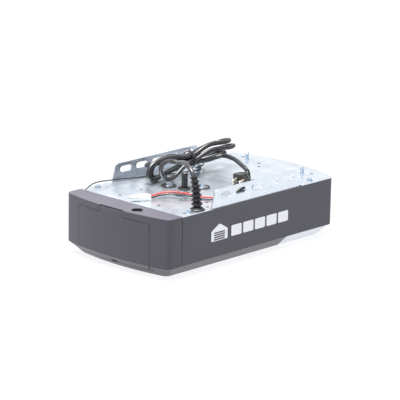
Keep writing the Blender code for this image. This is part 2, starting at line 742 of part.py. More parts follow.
def led_board():
    """A board over the lens with rows of square lamps pushed out of its lower face."""
    low, high = (0.098, -0.078), (0.186, 0.078)
    columns, rows = 7, 13
    shape = bmesh.new()
    grid = {}
    for i in range(columns + 1):
        for j in range(rows + 1):
            x = low[0] + (high[0] - low[0]) * i / columns
            y = low[1] + (high[1] - low[1]) * j / rows
            grid[i, j] = shape.verts.new((x, y, 0.0120))
    lamps = []
    for i in range(columns):
        for j in range(rows):
            face = shape.faces.new((grid[i, j], grid[i, j + 1], grid[i + 1, j + 1], grid[i + 1, j]))
            if i % 2 and j % 2:
                lamps.append(face)
    top = bmesh.ops.extrude_face_region(shape, geom=list(shape.faces), use_keep_orig=True)
    raised = [v for v in top["geom"] if isinstance(v, bmesh.types.BMVert)]
    bmesh.ops.translate(shape, verts=raised, vec=(0, 0, 0.0016))
    for lamp in lamps:
        bmesh.ops.inset_individual(shape, faces=[lamp], thickness=0.0030)
        pushed = bmesh.ops.extrude_discrete_faces(shape, faces=[lamp])["faces"]
        for face in pushed:
            bmesh.ops.translate(shape, verts=face.verts, vec=(0, 0, -0.0015))
    bmesh.ops.recalc_face_normals(shape, faces=shape.faces)
    mesh = bpy.data.meshes.new("led_board")
    shape.to_mesh(mesh)
    shape.free()
    add("led_board", mesh, "circuit_board")


def buttons():
    for name, y in BUTTONS.items():
        profile = [
            (BUTTON_R - 0.0006, 0),
            (BUTTON_R, 0.0006),
            (BUTTON_R, 0.0075),
            (0.0062, 0.0075),
            (0.0062, 0.0087),
        ]
        start = PANEL_X[1] + GAP - 0.0075
        finish = "button_red" if name == "button_learn" else "button_grey"
        turned(name, profile, (start, y, BUTTON_Z), finish, axis=(1, 0, 0), count=16)


# Cords


def strain_relief():
    """A flange on the plate and a ribbed sleeve that narrows towards the lead, leaning inwards."""
    path = smooth_path(RELIEF, 0.0004)
    length = sum((b - a).length for a, b in zip(path, path[1:]))

    def point_at(distance):
        for a, b in zip(path, path[1:]):
            step = (b - a).length
            if distance <= step or b is path[-1]:
                return a.lerp(b, distance / step), (b - a).normalized()
            distance -= step

    stations = [(-0.0060, 0.0062), (-GAP, 0.0062), (0, 0.0125), (0.0016, 0.0125), (0.0020, 0.0078)]
    body_start = 0.0030
    pitch = (length - body_start) / RELIEF_RINGS
    for i in range(RELIEF_RINGS):
        at = body_start + pitch * i
        share = (i + 0.5) / RELIEF_RINGS
        core = 0.0076 - 0.0026 * share
        rib = core + 0.0015 - 0.0003 * share
        stations += [(at + pitch * 0.05, core), (at + pitch * 0.50, core), (at + pitch * 0.62, rib), (at + pitch * 0.92, rib)]
    stations.append((length, 0.0052))
    rings = []
    for distance, radius in stations:
        if distance < 0:
            place, way = Vector(RELIEF[0]) + Vector((0, 0, distance)), Vector((0, 0, 1))
        elif distance <= 0.0020:
            place, way = Vector(RELIEF[0]) + Vector((0, 0, distance)), Vector((0, 0, 1))
        else:
            place, way = point_at(distance)
        turn = frame_of(way)
        rings.append([place + turn @ Vector((x, y, 0)) for x, y in circle(radius, 12)])
    loft("strain_relief", rings, "black_rubber", smooth=True)


def hank():
    """The tied hank: an outline with round ends in plan, extruded to the bundle's thickness and tilted."""
    straight = HANK_LONG / 2 - HANK_WIDE / 2
    outline = []
    for sign in (1, -1):
        for k in range(9):
            angle = -sign * math.pi / 2 + math.pi * k / 8
            x = sign * straight + HANK_WIDE / 2 * math.cos(angle)
            outline.append((x, HANK_WIDE / 2 * math.sin(angle)))
    turn = Matrix.Rotation(-HANK_RISE, 3, "Y")
    rings = []
    for z in (-HANK_THICK / 2, HANK_THICK / 2):
        rings.append([Vector(HANK_MIDDLE) + turn @ Vector((x, y, z)) for x, y in outline])
    loft("power_cord_hank", rings, "cord_pvc")

    across = HANK_WIDE / 2 + 0.0006
    high = HANK_THICK / 2 + 0.0006
    band = 0.0012

    def hoop(grow, x):
        points = []
        for y, z in ((1, 1), (-1, 1), (-1, -1), (1, -1)):
            points.append(Vector(HANK_MIDDLE) + turn @ Vector((x, y * (across + grow), z * (high + grow))))
        return points

    shift = TIE_X - HANK_MIDDLE[0]
    rings = [hoop(0, shift - 0.002), hoop(0, shift + 0.002), hoop(band, shift + 0.002), hoop(band, shift - 0.002)]
    loft("cord_tie", rings, "black_plastic", closed=True)


def plug():
    """A moulded plug lying on the plate: a square face with three pins, and a body that tapers to the lead."""
    side = Vector((0, 0, 1)).cross(PLUG_WAY)
    face = Vector(PLUG_FACE)

    def ring(back, wide, high, lift, corner):
        points = []
        for sy, sz, start in ((1, 1, 0), (-1, 1, 90), (-1, -1, 180), (1, -1, 270)):
            for k in range(4):
                angle = math.radians(start + 30 * k)
                y = sy * (wide / 2 - corner) + corner * math.cos(angle)
                z = sz * (high / 2 - corner) + corner * math.sin(angle)
                points.append(face - PLUG_WAY * back + side * y + Vector((0, 0, z + lift)))
        return points

    def neck(along, normal, radius):
        normal = normal.normalized()
        across = (side - normal * side.dot(normal)).normalized()
        up = across.cross(normal)
        up = up if up.z > 0 else -up
        points = []
        for i in range(16):
            angle = 2 * math.pi * (i + 0.5) / 16
            centre = Vector(PLUG_NECK) + PLUG_EXIT * along
            points.append(centre + across * radius * math.cos(angle) + up * radius * math.sin(angle))
        return points

    rings = [
        ring(0, 0.0250, 0.0250, 0, 0.0030),
        ring(0.0012, 0.0270, 0.0270, 0, 0.0040),
        ring(0.0080, 0.0270, 0.0270, 0, 0.0040),
        ring(0.0160, 0.0200, 0.0250, 0.0010, 0.0050),
        ring(0.0220, 0.0150, 0.0190, 0.0035, 0.0050),
        neck(0, -PLUG_WAY + PLUG_EXIT, 0.0064),
        neck(0.0060, PLUG_EXIT, 0.0050),
    ]
    loft("plug_body", rings, "black_plastic", smooth=True)
    pin_start, blade = GAP, 0.0165
    for name, y, high, thick in (("plug_blade_line", 0.00635, 0.0063, 0.0015), ("plug_blade_neutral", -0.00635, 0.0079, 0.0015)):
        rings = []
        for out, shrink in ((pin_start, 1), (blade - 0.002, 1), (blade, 0.6)):
            middle = face + PLUG_WAY * out + side * y + Vector((0, 0, 0.004))
            corners = ((1, 1), (-1, 1), (-1, -1), (1, -1))
            rings.append(
                [middle + side * (a * thick / 2 * shrink) + Vector((0, 0, b * high / 2 * shrink)) for a, b in corners]
            )
        loft(name, rings, "brass")
    profile = [(0.0024, pin_start), (0.0024, 0.0170), (0.0014, 0.0190)]
    turned("plug_ground_pin", profile, face - Vector((0, 0, 0.0079)), "brass", axis=PLUG_WAY, count=12)


def offset_route(route, apart, lift):
    """The route moved sideways, square to its own way in plan, and up."""
    moved = []
    points = [Vector(p) for p in route]
    for i, p in enumerate(points):
        way = points[min(i + 1, len(points) - 1)] - points[max(i - 1, 0)]
        flat = Vector((-way.y, way.x, 0))
        flat = flat.normalized() if flat.length > 1e-5 else Vector((0, 1, 0))
        moved.append(p + flat * apart + Vector((0, 0, lift)))
    return moved


def wires():
    stud = Vector((*STUDS[2], 0))
    wrap = []
    turn_steps = round(WRAP_TURNS * 10)
    first, last = ANTENNA[-1], ANTENNA_TAIL[0]
    for i in range(turn_steps + 1):
        share = i / turn_steps
        angle = math.radians(200) + 2 * math.pi * WRAP_TURNS * share
        height = first[2] + (last[2] - first[2]) * share
        wrap.append((stud.x + WRAP_R * math.cos(angle), stud.y + WRAP_R * math.sin(angle), height + 0.0010))
    tube("antenna_wire", ANTENNA + wrap + ANTENNA_TAIL, ANTENNA_R, "cord_pvc", step=0.0042)
    tube("battery_lead_red", offset_route(PAIR, PAIR_APART / 2, 0.0003), PAIR_R, "red_wire")
    tube("battery_lead_black", offset_route(PAIR, -PAIR_APART / 2, -0.0003), PAIR_R, "cord_pvc")
    side = Vector((0, 0, 1)).cross(CONNECTOR_WAY)
    for name, start, end, wide, high in (
        ("connector_plug", -0.0033, 0.0168, 0.0130, 0.0080),
        ("connector_socket", -0.0168, -0.0036, 0.0115, 0.0068),
    ):
        rings = []
        for along, shrink in ((start, 0.90), (start + 0.0008, 1), (end - 0.0008, 1), (end, 0.90)):
            middle = Vector(CONNECTOR) + CONNECTOR_WAY * along
            ring = []
            for a, b in ((1, 1), (-1, 1), (-1, -1), (1, -1)):
                ring.append(middle + side * (a * wide / 2 * shrink) + Vector((0, 0, b * high / 2 * shrink)))
            rings.append(ring)
        loft(name, rings, "white_nylon")


def main():
    for old in list(bpy.data.objects):
        bpy.data.objects.remove(old, do_unlink=True)
    casings()
    chassis_plate()
    hanging_bracket("hanging_bracket_rear", 1)
    hanging_bracket("hanging_bracket_front", -1)
    studs_and_screws()
    gearbox()
    output_shaft()
    worm_wheel()
    worm_shaft()
    motor()
    electrics()
    buttons()
    strain_relief()
    tube("power_cord_lead", LEAD, CORD_R, "cord_pvc")
    hank()
    tube("power_cord_tail", TAIL, CORD_R, "cord_pvc")
    plug()
    wires()


main()
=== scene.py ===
"""Garage door opener head: finishes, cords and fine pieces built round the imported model."""

import math

import bmesh
import bpy
from mathutils import Matrix, Vector


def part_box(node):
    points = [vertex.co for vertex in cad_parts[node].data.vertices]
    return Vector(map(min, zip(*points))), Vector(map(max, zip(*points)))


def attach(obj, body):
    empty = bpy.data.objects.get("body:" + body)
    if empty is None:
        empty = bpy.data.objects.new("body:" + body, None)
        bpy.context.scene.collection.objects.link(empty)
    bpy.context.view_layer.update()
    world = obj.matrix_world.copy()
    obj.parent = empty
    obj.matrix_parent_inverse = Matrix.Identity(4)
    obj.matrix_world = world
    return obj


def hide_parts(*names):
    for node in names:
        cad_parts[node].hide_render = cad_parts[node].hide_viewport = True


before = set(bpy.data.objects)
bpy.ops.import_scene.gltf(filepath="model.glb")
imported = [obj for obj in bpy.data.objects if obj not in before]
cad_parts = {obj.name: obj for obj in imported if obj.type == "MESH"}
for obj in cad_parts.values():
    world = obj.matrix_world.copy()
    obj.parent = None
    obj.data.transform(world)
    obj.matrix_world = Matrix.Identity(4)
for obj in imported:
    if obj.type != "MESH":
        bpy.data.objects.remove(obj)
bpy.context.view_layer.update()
scene = bpy.context.scene

# Sizes and places on the head, in metres
PLATE_TOP = 0.1005
CORD_R = 0.0038
ANTENNA_R = 0.0011
PAIR_R = 0.0014
SIDE_Y = -0.1175
SEAM_X = -0.172
DOOR_JOINT_TOP = 0.0860
STUDS = ((0.175, 0.063), (0.175, -0.063), (0.051, 0.061), (0.051, -0.061))
STUD_R = 0.003
STUD_FOOT_R = 0.0048
STUD_FOOT_Z = 0.0965
STUD_THREADS = 13
PLATE_SCREWS = ((-0.1435, 0.1045), (-0.1435, -0.1045), (0.147, 0.105), (0.147, -0.105))
PLATE_HOLES = (
    (-0.102, 0.045), (-0.102, -0.045), (-0.152, 0.044), (-0.152, -0.044), (-0.155, -0.1046),
    (-0.082, -0.0845), (-0.100, -0.1035), (0.182, 0.0785), (0.182, -0.0785), (0.152, 0.0145), (0.169, 0.030),
)
# radius of the black discs that paint the shade inside the plate's small holes
HOLE_SHADE_R = 0.0026
GEARBOX_SCREWS = ((-0.052, 0.030), (-0.019, -0.015), (-0.074, -0.021))
SHAFT = (-0.046, 0.0)
CABLE_HOLE = (-0.196, -0.040)
BUTTONS = (
    ("button_up", 0.050), ("button_down", 0.030), ("button_set", 0.010), ("button_learn", -0.010),
)
BUTTON_Z = 0.066
PANEL_FACE = -0.1890


# ---------------------------------------------------------------- camera

def camera():
    """A long lens, a little above the head's nearest corner."""
    yaw, pitch, roll = math.radians(46.67), math.radians(15.33), math.radians(1.01)
    level = math.cos(pitch)
    forward = Vector((math.sin(yaw) * level, math.cos(yaw) * level, -math.sin(pitch)))
    across = Vector((math.cos(yaw), -math.sin(yaw), 0))
    up = across.cross(forward)
    right = across * math.cos(roll) + up * math.sin(roll)
    over = up * math.cos(roll) - across * math.sin(roll)
    data = bpy.data.cameras.new("viewing_camera")
    data.lens = 216
    data.sensor_width = 36
    data.clip_start = 0.1
    data.clip_end = 50
    made = bpy.data.objects.new("viewing_camera", data)
    scene.collection.objects.link(made)
    columns = Matrix((right, over, -forward)).transposed().to_4x4()
    made.matrix_world = Matrix.Translation((-2.8036, -2.6368, 1.1275)) @ columns
    scene.camera = made


# ---------------------------------------------------------------- finishes

class Link:
    """One socket of a finish. Arithmetic on it adds Math nodes."""

    def __init__(self, finish, socket):
        self.finish = finish
        self.socket = socket

    def sum_of(self, operation, first, second=0.0):
        return self.finish.node("ShaderNodeMath", {"operation": operation}, {0: first, 1: second})

    def __add__(self, other):
        return self.sum_of("ADD", self, other)

    def __radd__(self, other):
        return self.sum_of("ADD", other, self)

    def __sub__(self, other):
        return self.sum_of("SUBTRACT", self, other)

    def __rsub__(self, other):
        return self.sum_of("SUBTRACT", other, self)

    def __mul__(self, other):
        return self.sum_of("MULTIPLY", self, other)

    def __rmul__(self, other):
        return self.sum_of("MULTIPLY", other, self)

    def wave(self):
        return self.sum_of("SINE", self)


class Finish:
    """A Principled material with one way of adding nodes."""

    def __init__(self, name, **fixed):
        self.material = bpy.data.materials.new(name)
        self.material.use_nodes = True
        self.tree = self.material.node_tree
        self.shader = self.tree.nodes["Principled BSDF"]
        for socket, value in fixed.items():
            self.shader.inputs[socket.replace("_", " ")].default_value = value

    def node(self, kind, settings=None, values=None, output=0):
        made = self.tree.nodes.new(kind)
        for key, value in (settings or {}).items():
            if key == "stops":
                self.stops(made.color_ramp, value)
            else:
                setattr(made, key, value)
        for socket, value in (values or {}).items():
            if isinstance(value, Link):
                self.tree.links.new(value.socket, made.inputs[socket])
            else:
                made.inputs[socket].default_value = value
        return Link(self, made.outputs[output])

    def stops(self, ramp, stops):
        for place, level in stops[2:]:
            ramp.elements.new(place)
        for element, (place, level) in zip(ramp.elements, stops):
            element.position = place
            element.color = (level, level, level, 1)

    def place(self, stretch=(1, 1, 1)):
        spot = self.node("ShaderNodeTexCoord", output=3)
        return self.node("ShaderNodeMapping", {}, {"Vector": spot, "Scale": stretch})

    def axis(self, index):
        return self.node("ShaderNodeSeparateXYZ", {}, {0: self.place()}, output=index)

    def noise(self, scale, detail=2.0, rough=0.5, stretch=(1, 1, 1)):
        values = {"Vector": self.place(stretch), "Scale": scale, "Detail": detail, "Roughness": rough}
        return self.node("ShaderNodeTexNoise", {}, values)

    def cells(self, scale, stretch=(1, 1, 1), feature="F1", output=0):
        values = {"Vector": self.place(stretch), "Scale": scale}
        return self.node("ShaderNodeTexVoronoi", {"feature": feature}, values, output)

    def ramp(self, factor, *stops):
        return self.node("ShaderNodeValToRGB", {"stops": stops}, {0: factor})

    def blend(self, factor, first, second):
        settings = {"data_type": "RGBA"}
        return self.node("ShaderNodeMix", settings, {0: factor, 6: first, 7: second}, output=2)

    def feed(self, socket, link):
        self.tree.links.new(link.socket, self.shader.inputs[socket])
        return self

    def bump(self, height, strength=0.3, distance=0.0003):
        values = {"Height": height, "Strength": strength, "Distance": distance}
        return self.feed("Normal", self.node("ShaderNodeBump", {}, values))


def tone(red, green, blue, level=1.0):
    """An sRGB colour, 0 to 255, as the linear colour a socket takes."""
    linear = []
    for value in (red, green, blue):
        share = value * level / 255
        linear.append(share / 12.92 if share <= 0.04045 else ((share + 0.055) / 1.055) ** 2.4)
    return (*linear, 1.0)


def moulded(name, colour, rough=0.45, grain=2600, depth=0.25, **fixed):
    """Moulded plastic: spark-eroded grain, faint clouding and scuffed patches."""
    finish = Finish(name, **fixed)
    clouds = finish.noise(14, 3)
    scuffs = finish.ramp(finish.noise(90, 5, 0.7), (0.52, 0), (0.72, 1))
    fine = finish.noise(grain, 2)
    dark = tuple(c * 0.86 for c in colour[:3]) + (1,)
    light = tuple(min(1, c * 1.10) for c in colour[:3]) + (1,)
    finish.feed("Base Color", finish.blend(clouds * 0.6 + fine * 0.4, dark, light))
    finish.feed("Roughness", rough + clouds * 0.08 + scuffs * 0.06 - 0.04)
    finish.bump(fine, depth, 0.0002)
    return finish


def metal(name, colour, rough=0.3, grain=500, depth=0.12, stretch=(1, 1, 1), stain=0.15, **fixed):
    """Bare or plated metal: fine grain, drawn lines and dull patches."""
    finish = Finish(name, Metallic=1.0, **fixed)
    lines = finish.noise(grain, 4, 0.6, stretch)
    patches = finish.noise(28, 4, 0.6)
    dull = tuple(c * (1 - stain) for c in colour[:3]) + (1,)
    finish.feed("Base Color", finish.blend(patches * 0.7 + lines * 0.3, dull, colour))
    finish.feed("Roughness", rough + patches * 0.14 + lines * 0.06 - 0.09)
    finish.bump(lines, depth, 0.0001)
    return finish


def dark_plastic():
    finish = moulded("dark_plastic", tone(74, 73, 82), 0.36, 2400, 0.18)
    finish.shader.inputs["Specular IOR Level"].default_value = 0.30
    finish.shader.inputs["Coat Weight"].default_value = 0.15
    finish.shader.inputs["Coat Roughness"].default_value = 0.12
    return finish


def galvanised_steel():
    """Hot-dip zinc: overlapping spangles that mirror the room each a little differently."""
    finish = Finish("galvanised_steel", Metallic=0.95)
    flakes = finish.cells(70, (1, 1.6, 1), output=1)
    tint = finish.node("ShaderNodeSeparateColor", {}, {0: flakes})
    rolled = finish.noise(40, 4, 0.5, (1, 12, 1))
    streaks = finish.noise(9, 3, 0.5, (5, 1, 1))
    pale = finish.blend(tint * 0.3 + streaks * 0.7, tone(208, 217, 227), tone(232, 237, 244))
    finish.feed("Base Color", pale)
    finish.feed("Roughness", 0.23 + tint * 0.03 + streaks * 0.10)
    finish.bump(rolled * 0.7 + tint * 0.3, 0.025, 0.0003)
    return finish


def zinc_steel():
    return metal("zinc_steel", tone(206, 222, 236), 0.26, 900, 0.12, stain=0.14)


def white_lens():
    """Frosted polycarbonate over the lamp, with its moulded prisms showing through."""
    finish = Finish("white_lens", Subsurface_Weight=0.25, Subsurface_Scale=0.01, IOR=1.49)
    finish.shader.inputs["Subsurface Radius"].default_value = (1.0, 1.0, 1.0)
    frost = finish.noise(1500, 2)
    haze = finish.noise(12, 2)
    finish.feed("Base Color", finish.blend(haze, tone(224, 228, 238), tone(234, 237, 244)))
    finish.feed("Roughness", 0.32 + frost * 0.12)
    prisms = (finish.axis(1) * 1400).wave() + (finish.axis(0) * 1400).wave()
    finish.bump(prisms * 0.25 + frost * 0.3, 0.10, 0.0004)
    return finish


def black_plastic():
    return moulded("black_plastic", tone(20, 20, 23), 0.28, 2600, 0.14, Specular_IOR_Level=0.7)


def black_rubber():
    finish = moulded("black_rubber", tone(30, 30, 34), 0.40, 1500, 0.22)
    dust = finish.ramp(finish.noise(160, 5, 0.7), (0.50, 0), (0.80, 1))
    finish.feed("Base Color", finish.blend(dust * 0.5, tone(26, 26, 30), tone(66, 66, 71)))
    return finish


def cord_pvc():
    """Extruded PVC jacket: glossy, with the pull lines of the die and a few dull rubs."""
    finish = Finish("cord_pvc", Specular_IOR_Level=0.6, Coat_Weight=0.2, Coat_Roughness=0.30)
    mottle = finish.noise(240, 4, 0.6)
    rubs = finish.ramp(finish.noise(70, 5, 0.7), (0.55, 0), (0.75, 1))
    finish.feed("Base Color", finish.blend(rubs * 0.5 + mottle * 0.3, tone(22, 22, 25), tone(58, 58, 63)))
    finish.feed("Roughness", 0.30 + mottle * 0.10 + rubs * 0.12)
    finish.bump(mottle, 0.05, 0.0003)
    return finish


def red_wire():
    return moulded("red_wire", tone(208, 62, 60), 0.36, 900, 0.1)


def white_nylon():
    finish = moulded("white_nylon", tone(226, 226, 224), 0.38, 1800, 0.12, Subsurface_Weight=0.15)
    finish.shader.inputs["Subsurface Scale"].default_value = 0.003
    return finish


def natural_nylon():
    return moulded("natural_nylon", tone(232, 226, 206), 0.42, 1200, 0.12, Subsurface_Weight=0.1)


def brass():
    finish = metal("brass", tone(240, 232, 214), 0.34, 700, 0.12, (1, 1, 9), 0.12)
    finish.shader.inputs["Metallic"].default_value = 0.75
    return finish


def dark_steel():
    return metal("dark_steel", tone(46, 46, 50), 0.42, 900, 0.2, stain=0.35)


def bright_steel():
    return metal("bright_steel", tone(214, 216, 220), 0.20, 800, 0.12, (9, 1, 1), 0.12)


def cast_alloy():
    return metal("cast_alloy", tone(176, 178, 182), 0.46, 420, 0.45, stain=0.18)


def bronze():
    return metal("bronze", tone(190, 142, 84), 0.34, 600, 0.2, stain=0.25)


def copper():
    """Enamelled wire laid turn on turn."""
    finish = metal("copper", tone(206, 118, 74), 0.26, 500, 0.1, stain=0.3)
    turns = (finish.axis(2) * 9000).wave()
    finish.bump(turns, 0.4, 0.0003)
    return finish


def circuit_board():
    """Solder mask over tracks and planes, with drilled pads."""
    finish = Finish("circuit_board")
    tracks = finish.cells(260, (1, 1, 1), "DISTANCE_TO_EDGE")
    copper_under = finish.ramp(tracks, (0.02, 1), (0.06, 0))
    pads = finish.ramp(finish.cells(420), (0.10, 1), (0.16, 0))
    mask = finish.blend(copper_under, tone(18, 84, 48), tone(38, 122, 72))
    finish.feed("Base Color", finish.blend(pads, mask, tone(200, 196, 176)))
    finish.feed("Roughness", 0.34 - pads * 0.10)
    finish.bump(copper_under + pads, 0.2, 0.0001)
    return finish


def relay_blue():
    return moulded("relay_blue", tone(44, 88, 168), 0.36)


def terminal_green():
    return moulded("terminal_green", tone(60, 150, 82), 0.40)


def button_red():
    return moulded("button_red", tone(196, 40, 36), 0.34)


def button_grey():
    return moulded("button_grey", tone(170, 172, 178), 0.36)


def printed_white():
    """Screen-printed ink: opaque, slightly starved where the mesh printed thin."""
    finish = Finish("printed_white")
    starved = finish.ramp(finish.noise(900, 3, 0.6), (0.60, 0), (0.80, 1))
    finish.feed("Base Color", finish.blend(starved * 0.35, tone(232, 233, 237), tone(200, 201, 207)))
    finish.feed("Roughness", 0.42 + starved * 0.12)
    return finish


FINISH_MAKERS = (
    dark_plastic, galvanised_steel, zinc_steel, white_lens, black_plastic, black_rubber, cord_pvc,
    red_wire, white_nylon, natural_nylon, brass, dark_steel, bright_steel, cast_alloy, bronze, copper,
    circuit_board, relay_blue, terminal_green, button_red, button_grey, printed_white,
)
FINISHES = {maker.__name__: maker().material for maker in FINISH_MAKERS}


def finish_frame():
    """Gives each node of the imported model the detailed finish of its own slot."""
    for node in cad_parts.values():
        for place in node.material_slots:
            slot = place.material.name.split(".")[0]
            if slot in FINISHES:
                place.material = FINISHES[slot]


# ---------------------------------------------------------------- pieces, as by hand

def clear():
    if bpy.context.object and bpy.context.object.mode != "OBJECT":
        bpy.ops.object.mode_set(mode="OBJECT")
    bpy.ops.object.select_all(action="DESELECT")


def pick(piece):
    """Makes the piece the only selected one, and the active one."""
    clear()
    piece.select_set(True)
    bpy.context.view_layer.objects.active = piece
    return piece


def settle(piece=None):
    """Puts the piece's place into its mesh."""
    piece = pick(piece or bpy.context.object)
    bpy.ops.object.transform_apply(location=True, rotation=True, scale=True)
    return piece


def keep(name, slot, body="head", replaced=(), inlaid=False):
    """Names the active piece, gives it its finish unless inlaid, hangs it under its body and hides the nodes
    it replaces.
    """
    piece = settle()
    piece.name = name
    piece.data.name = name
    if not inlaid:
        piece.data.materials.clear()
        piece.data.materials.append(FINISHES[slot])
    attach(piece, body)
    if replaced:
        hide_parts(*replaced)
    return piece


def block(low, high):
    """A box between two corners."""
    clear()
    low, high = Vector(low), Vector(high)
    bpy.ops.mesh.primitive_cube_add(size=1, location=(low + high) / 2)
    bpy.context.object.scale = high - low
    return settle()


def turned(at, radius, height, sides=48, tip=None):
    """A round bar or cone standing on a point."""
    clear()
    middle = Vector(at) + Vector((0, 0, height / 2))
    tip = radius if tip is None else tip
    bpy.ops.mesh.primitive_cone_add(
        vertices=sides, radius1=radius, radius2=tip, depth=height, location=middle)
    return settle()


def ring(at, middle, thick, sides=48, round_sides=12, flat=1.0):
    """A rubber or wire ring lying flat."""
    clear()
    bpy.ops.mesh.primitive_torus_add(
        major_radius=middle, minor_radius=thick, major_segments=sides, minor_segments=round_sides,
        location=at)
    bpy.context.object.scale = (1, 1, flat)
    return settle()


def choose(kind, wanted):
    """In edit mode, selects only the faces, edges or corners that are wanted."""
    piece = bpy.context.object
    bpy.ops.object.mode_set(mode="EDIT")
    bpy.ops.mesh.select_mode(type=kind)
    bpy.ops.mesh.select_all(action="DESELECT")
    mesh = bmesh.from_edit_mesh(piece.data)
    mesh.normal_update()
    for face in mesh.faces if kind == "FACE" else ():
        face.select_set(bool(wanted(face.calc_center_median(), face.normal)))
    for edge in mesh.edges if kind == "EDGE" else ():
        start, end = (corner.co for corner in edge.verts)
        edge.select_set(bool(wanted((start + end) / 2, (end - start).normalized())))
    for corner in mesh.verts if kind == "VERT" else ():
        corner.select_set(bool(wanted(corner.co, corner.normal)))
    mesh.select_flush_mode()
    bmesh.update_edit_mesh(piece.data)


def done():
    bpy.ops.object.mode_set(mode="OBJECT")
    return bpy.context.object


def draw_out(move):
    """Extrudes what is selected along a move."""
    bpy.ops.mesh.extrude_region_move(TRANSFORM_OT_translate={"value": move})


def turn_out():
    """Points every face of the active piece outwards."""
    choose("FACE", lambda place, way: True)
    bpy.ops.mesh.normals_make_consistent(inside=False)
    return done()


def top(level):
    """Picks the upward face at a height."""
    return lambda place, way: way.z > 0.9 and abs(place.z - level) < 1e-5


def rise(steps):
    """Draws the top face up through (height, width share) steps."""
    for height, share in steps:
        draw_out((0, 0, height))
        if share != 1:
            bpy.ops.transform.resize(value=(share, share, 1))


def soften(width, segments=2, angle=32):
    """Rounds the sharp edges and shades the rest smooth."""
    piece = bpy.context.object
    rounded = piece.modifiers.new("edge_round", "BEVEL")
    rounded.width = width
    rounded.segments = segments
    rounded.limit_method = "ANGLE"
    rounded.angle_limit = math.radians(angle)
    rounded.use_clamp_overlap = True
    bpy.ops.object.modifier_apply(modifier=rounded.name)
    bpy.ops.object.shade_smooth_by_angle(angle=math.radians(angle))
    return piece


def join(parts):
    """Makes one piece of several, kept under the first."""
    clear()
    for part in parts:
        part.select_set(True)
    bpy.context.view_layer.objects.active = parts[0]
    bpy.ops.object.join()
    return parts[0]


def stand(piece, at, way, across):
    """Turns a piece made at the origin: its own X looks along way, and its Y along across."""
    way = Vector(way).normalized()
    over = way.cross(Vector(across)).normalized()
    side = over.cross(way).normalized()
    columns = Matrix((way, side, over)).transposed().to_4x4()
    piece.matrix_world = Matrix.Translation(Vector(at)) @ columns
    return settle(piece)


def point_up(piece, at, way):
    """Turns a piece made round Z at the origin so that its Z looks along way."""
    piece.matrix_world = Matrix.Translation(at) @ way.to_track_quat("Z", "Y").to_matrix().to_4x4()
    return settle(piece)


def tube(name, points, radius, roundness):
    """A round wire along the points, as one open curve."""
    data = bpy.data.curves.new(name, "CURVE")
    data.dimensions = "3D"
    data.bevel_depth = radius
    data.bevel_resolution = roundness
    data.use_fill_caps = True
    line = data.splines.new("POLY")
    line.points.add(len(points) - 1)
    for knot, place in zip(line.points, points):
        knot.co = (*place, 1)
    made = bpy.data.objects.new(name, data)
    scene.collection.objects.link(made)
    return made


# ---------------------------------------------------------------- routes of the cords

def curved(points, per=10):
    """A centripetal curve through the points."""
    points = [Vector(p) for p in points]
    points = [2 * points[0] - points[1]] + points + [2 * points[-1] - points[-2]]
    made = []
    for a, b, c, d in zip(points, points[1:], points[2:], points[3:]):
        t1 = (b - a).length ** 0.5
        t2 = t1 + (c - b).length ** 0.5
        t3 = t2 + (d - c).length ** 0.5
        for i in range(per):
            t = t1 + (t2 - t1) * i / per
            ab = a * ((t1 - t) / t1) + b * (t / t1)
            bc = b * ((t2 - t) / (t2 - t1)) + c * ((t - t1) / (t2 - t1))
            cd = c * ((t3 - t) / (t3 - t2)) + d * ((t - t2) / (t3 - t2))
            abc = ab * ((t2 - t) / t2) + bc * (t / t2)
            bcd = bc * ((t3 - t) / (t3 - t1)) + cd * ((t - t1) / (t3 - t1))
            made.append(abc * ((t2 - t) / (t2 - t1)) + bcd * ((t - t1) / (t2 - t1)))
    made.append(points[-2])
    return made


def evened(points, step):
    """The same line with its points a step apart."""
    made = [points[0]]
    left = step
    for a, b in zip(points, points[1:]):
        span = (b - a).length
        while span >= left:
            a = a + (b - a) * (left / span)
            made.append(a)
            span -= left
            left = step
        left -= span
    if (points[-1] - made[-1]).length > step * 0.3:
        made.append(points[-1])
    else:
        made[-1] = points[-1]
    return made


def relaxed(points, rounds):
    """The same line with its corners eased, its ends held."""
    for _ in range(rounds):
        inner = [(a + b * 2 + c) / 4 for a, b, c in zip(points, points[1:], points[2:])]
        points = [points[0]] + inner + [points[-1]]
    return points


def length_of(points):
    return sum((b - a).length for a, b in zip(points, points[1:]))


def strand(name, points, radius, slot, replaced=(), roundness=4):
    """A cord or wire that rides on the head."""
    made = tube(name, points, radius, roundness)
    made.data.materials.append(FINISHES[slot])
    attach(made, "head")
    if replaced:
        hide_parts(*replaced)
    return made


RELIEF = (
    (-0.125, -0.104, 0.1008), (-0.125, -0.1025, 0.120), (-0.125, -0.0995, 0.140), (-0.1245, -0.095, 0.1535),
)
LEAD = (
    (-0.1248, -0.0972, 0.1480), (-0.1243, -0.0936, 0.1562), (-0.1220, -0.0865, 0.1620),
    (-0.1140, -0.0710, 0.1650), (-0.1020, -0.0540, 0.1642), (-0.0880, -0.0330, 0.1585),
    (-0.0740, -0.0110, 0.1515), (-0.0610, 0.0060, 0.1470),
)
TAIL = (
    (0.0560, 0.0440, 0.1230), (0.0730, 0.0410, 0.1260), (0.0820, 0.0330, 0.1285), (0.0800, 0.0200, 0.1295),
    (0.0740, 0.0000, 0.1297), (0.0665, -0.0145, 0.1297), (0.0570, -0.0310, 0.1293), (0.0480, -0.0460, 0.1293),
    (0.0435, -0.0553, 0.1280), (0.0405, -0.0605, 0.1260),
)
TIE = Vector((0.023, 0.056, 0.127))
PITCH = 0.0079
CLIMB = 0.10
LANES = {
    "middle": (0, 0), "near": (-1, 0), "far": (1, 0),
    "near_top": (-0.5, 0.866), "far_top": (0.5, 0.866),
    "near_foot": (-0.5, -0.866), "far_foot": (0.5, -0.866),
}


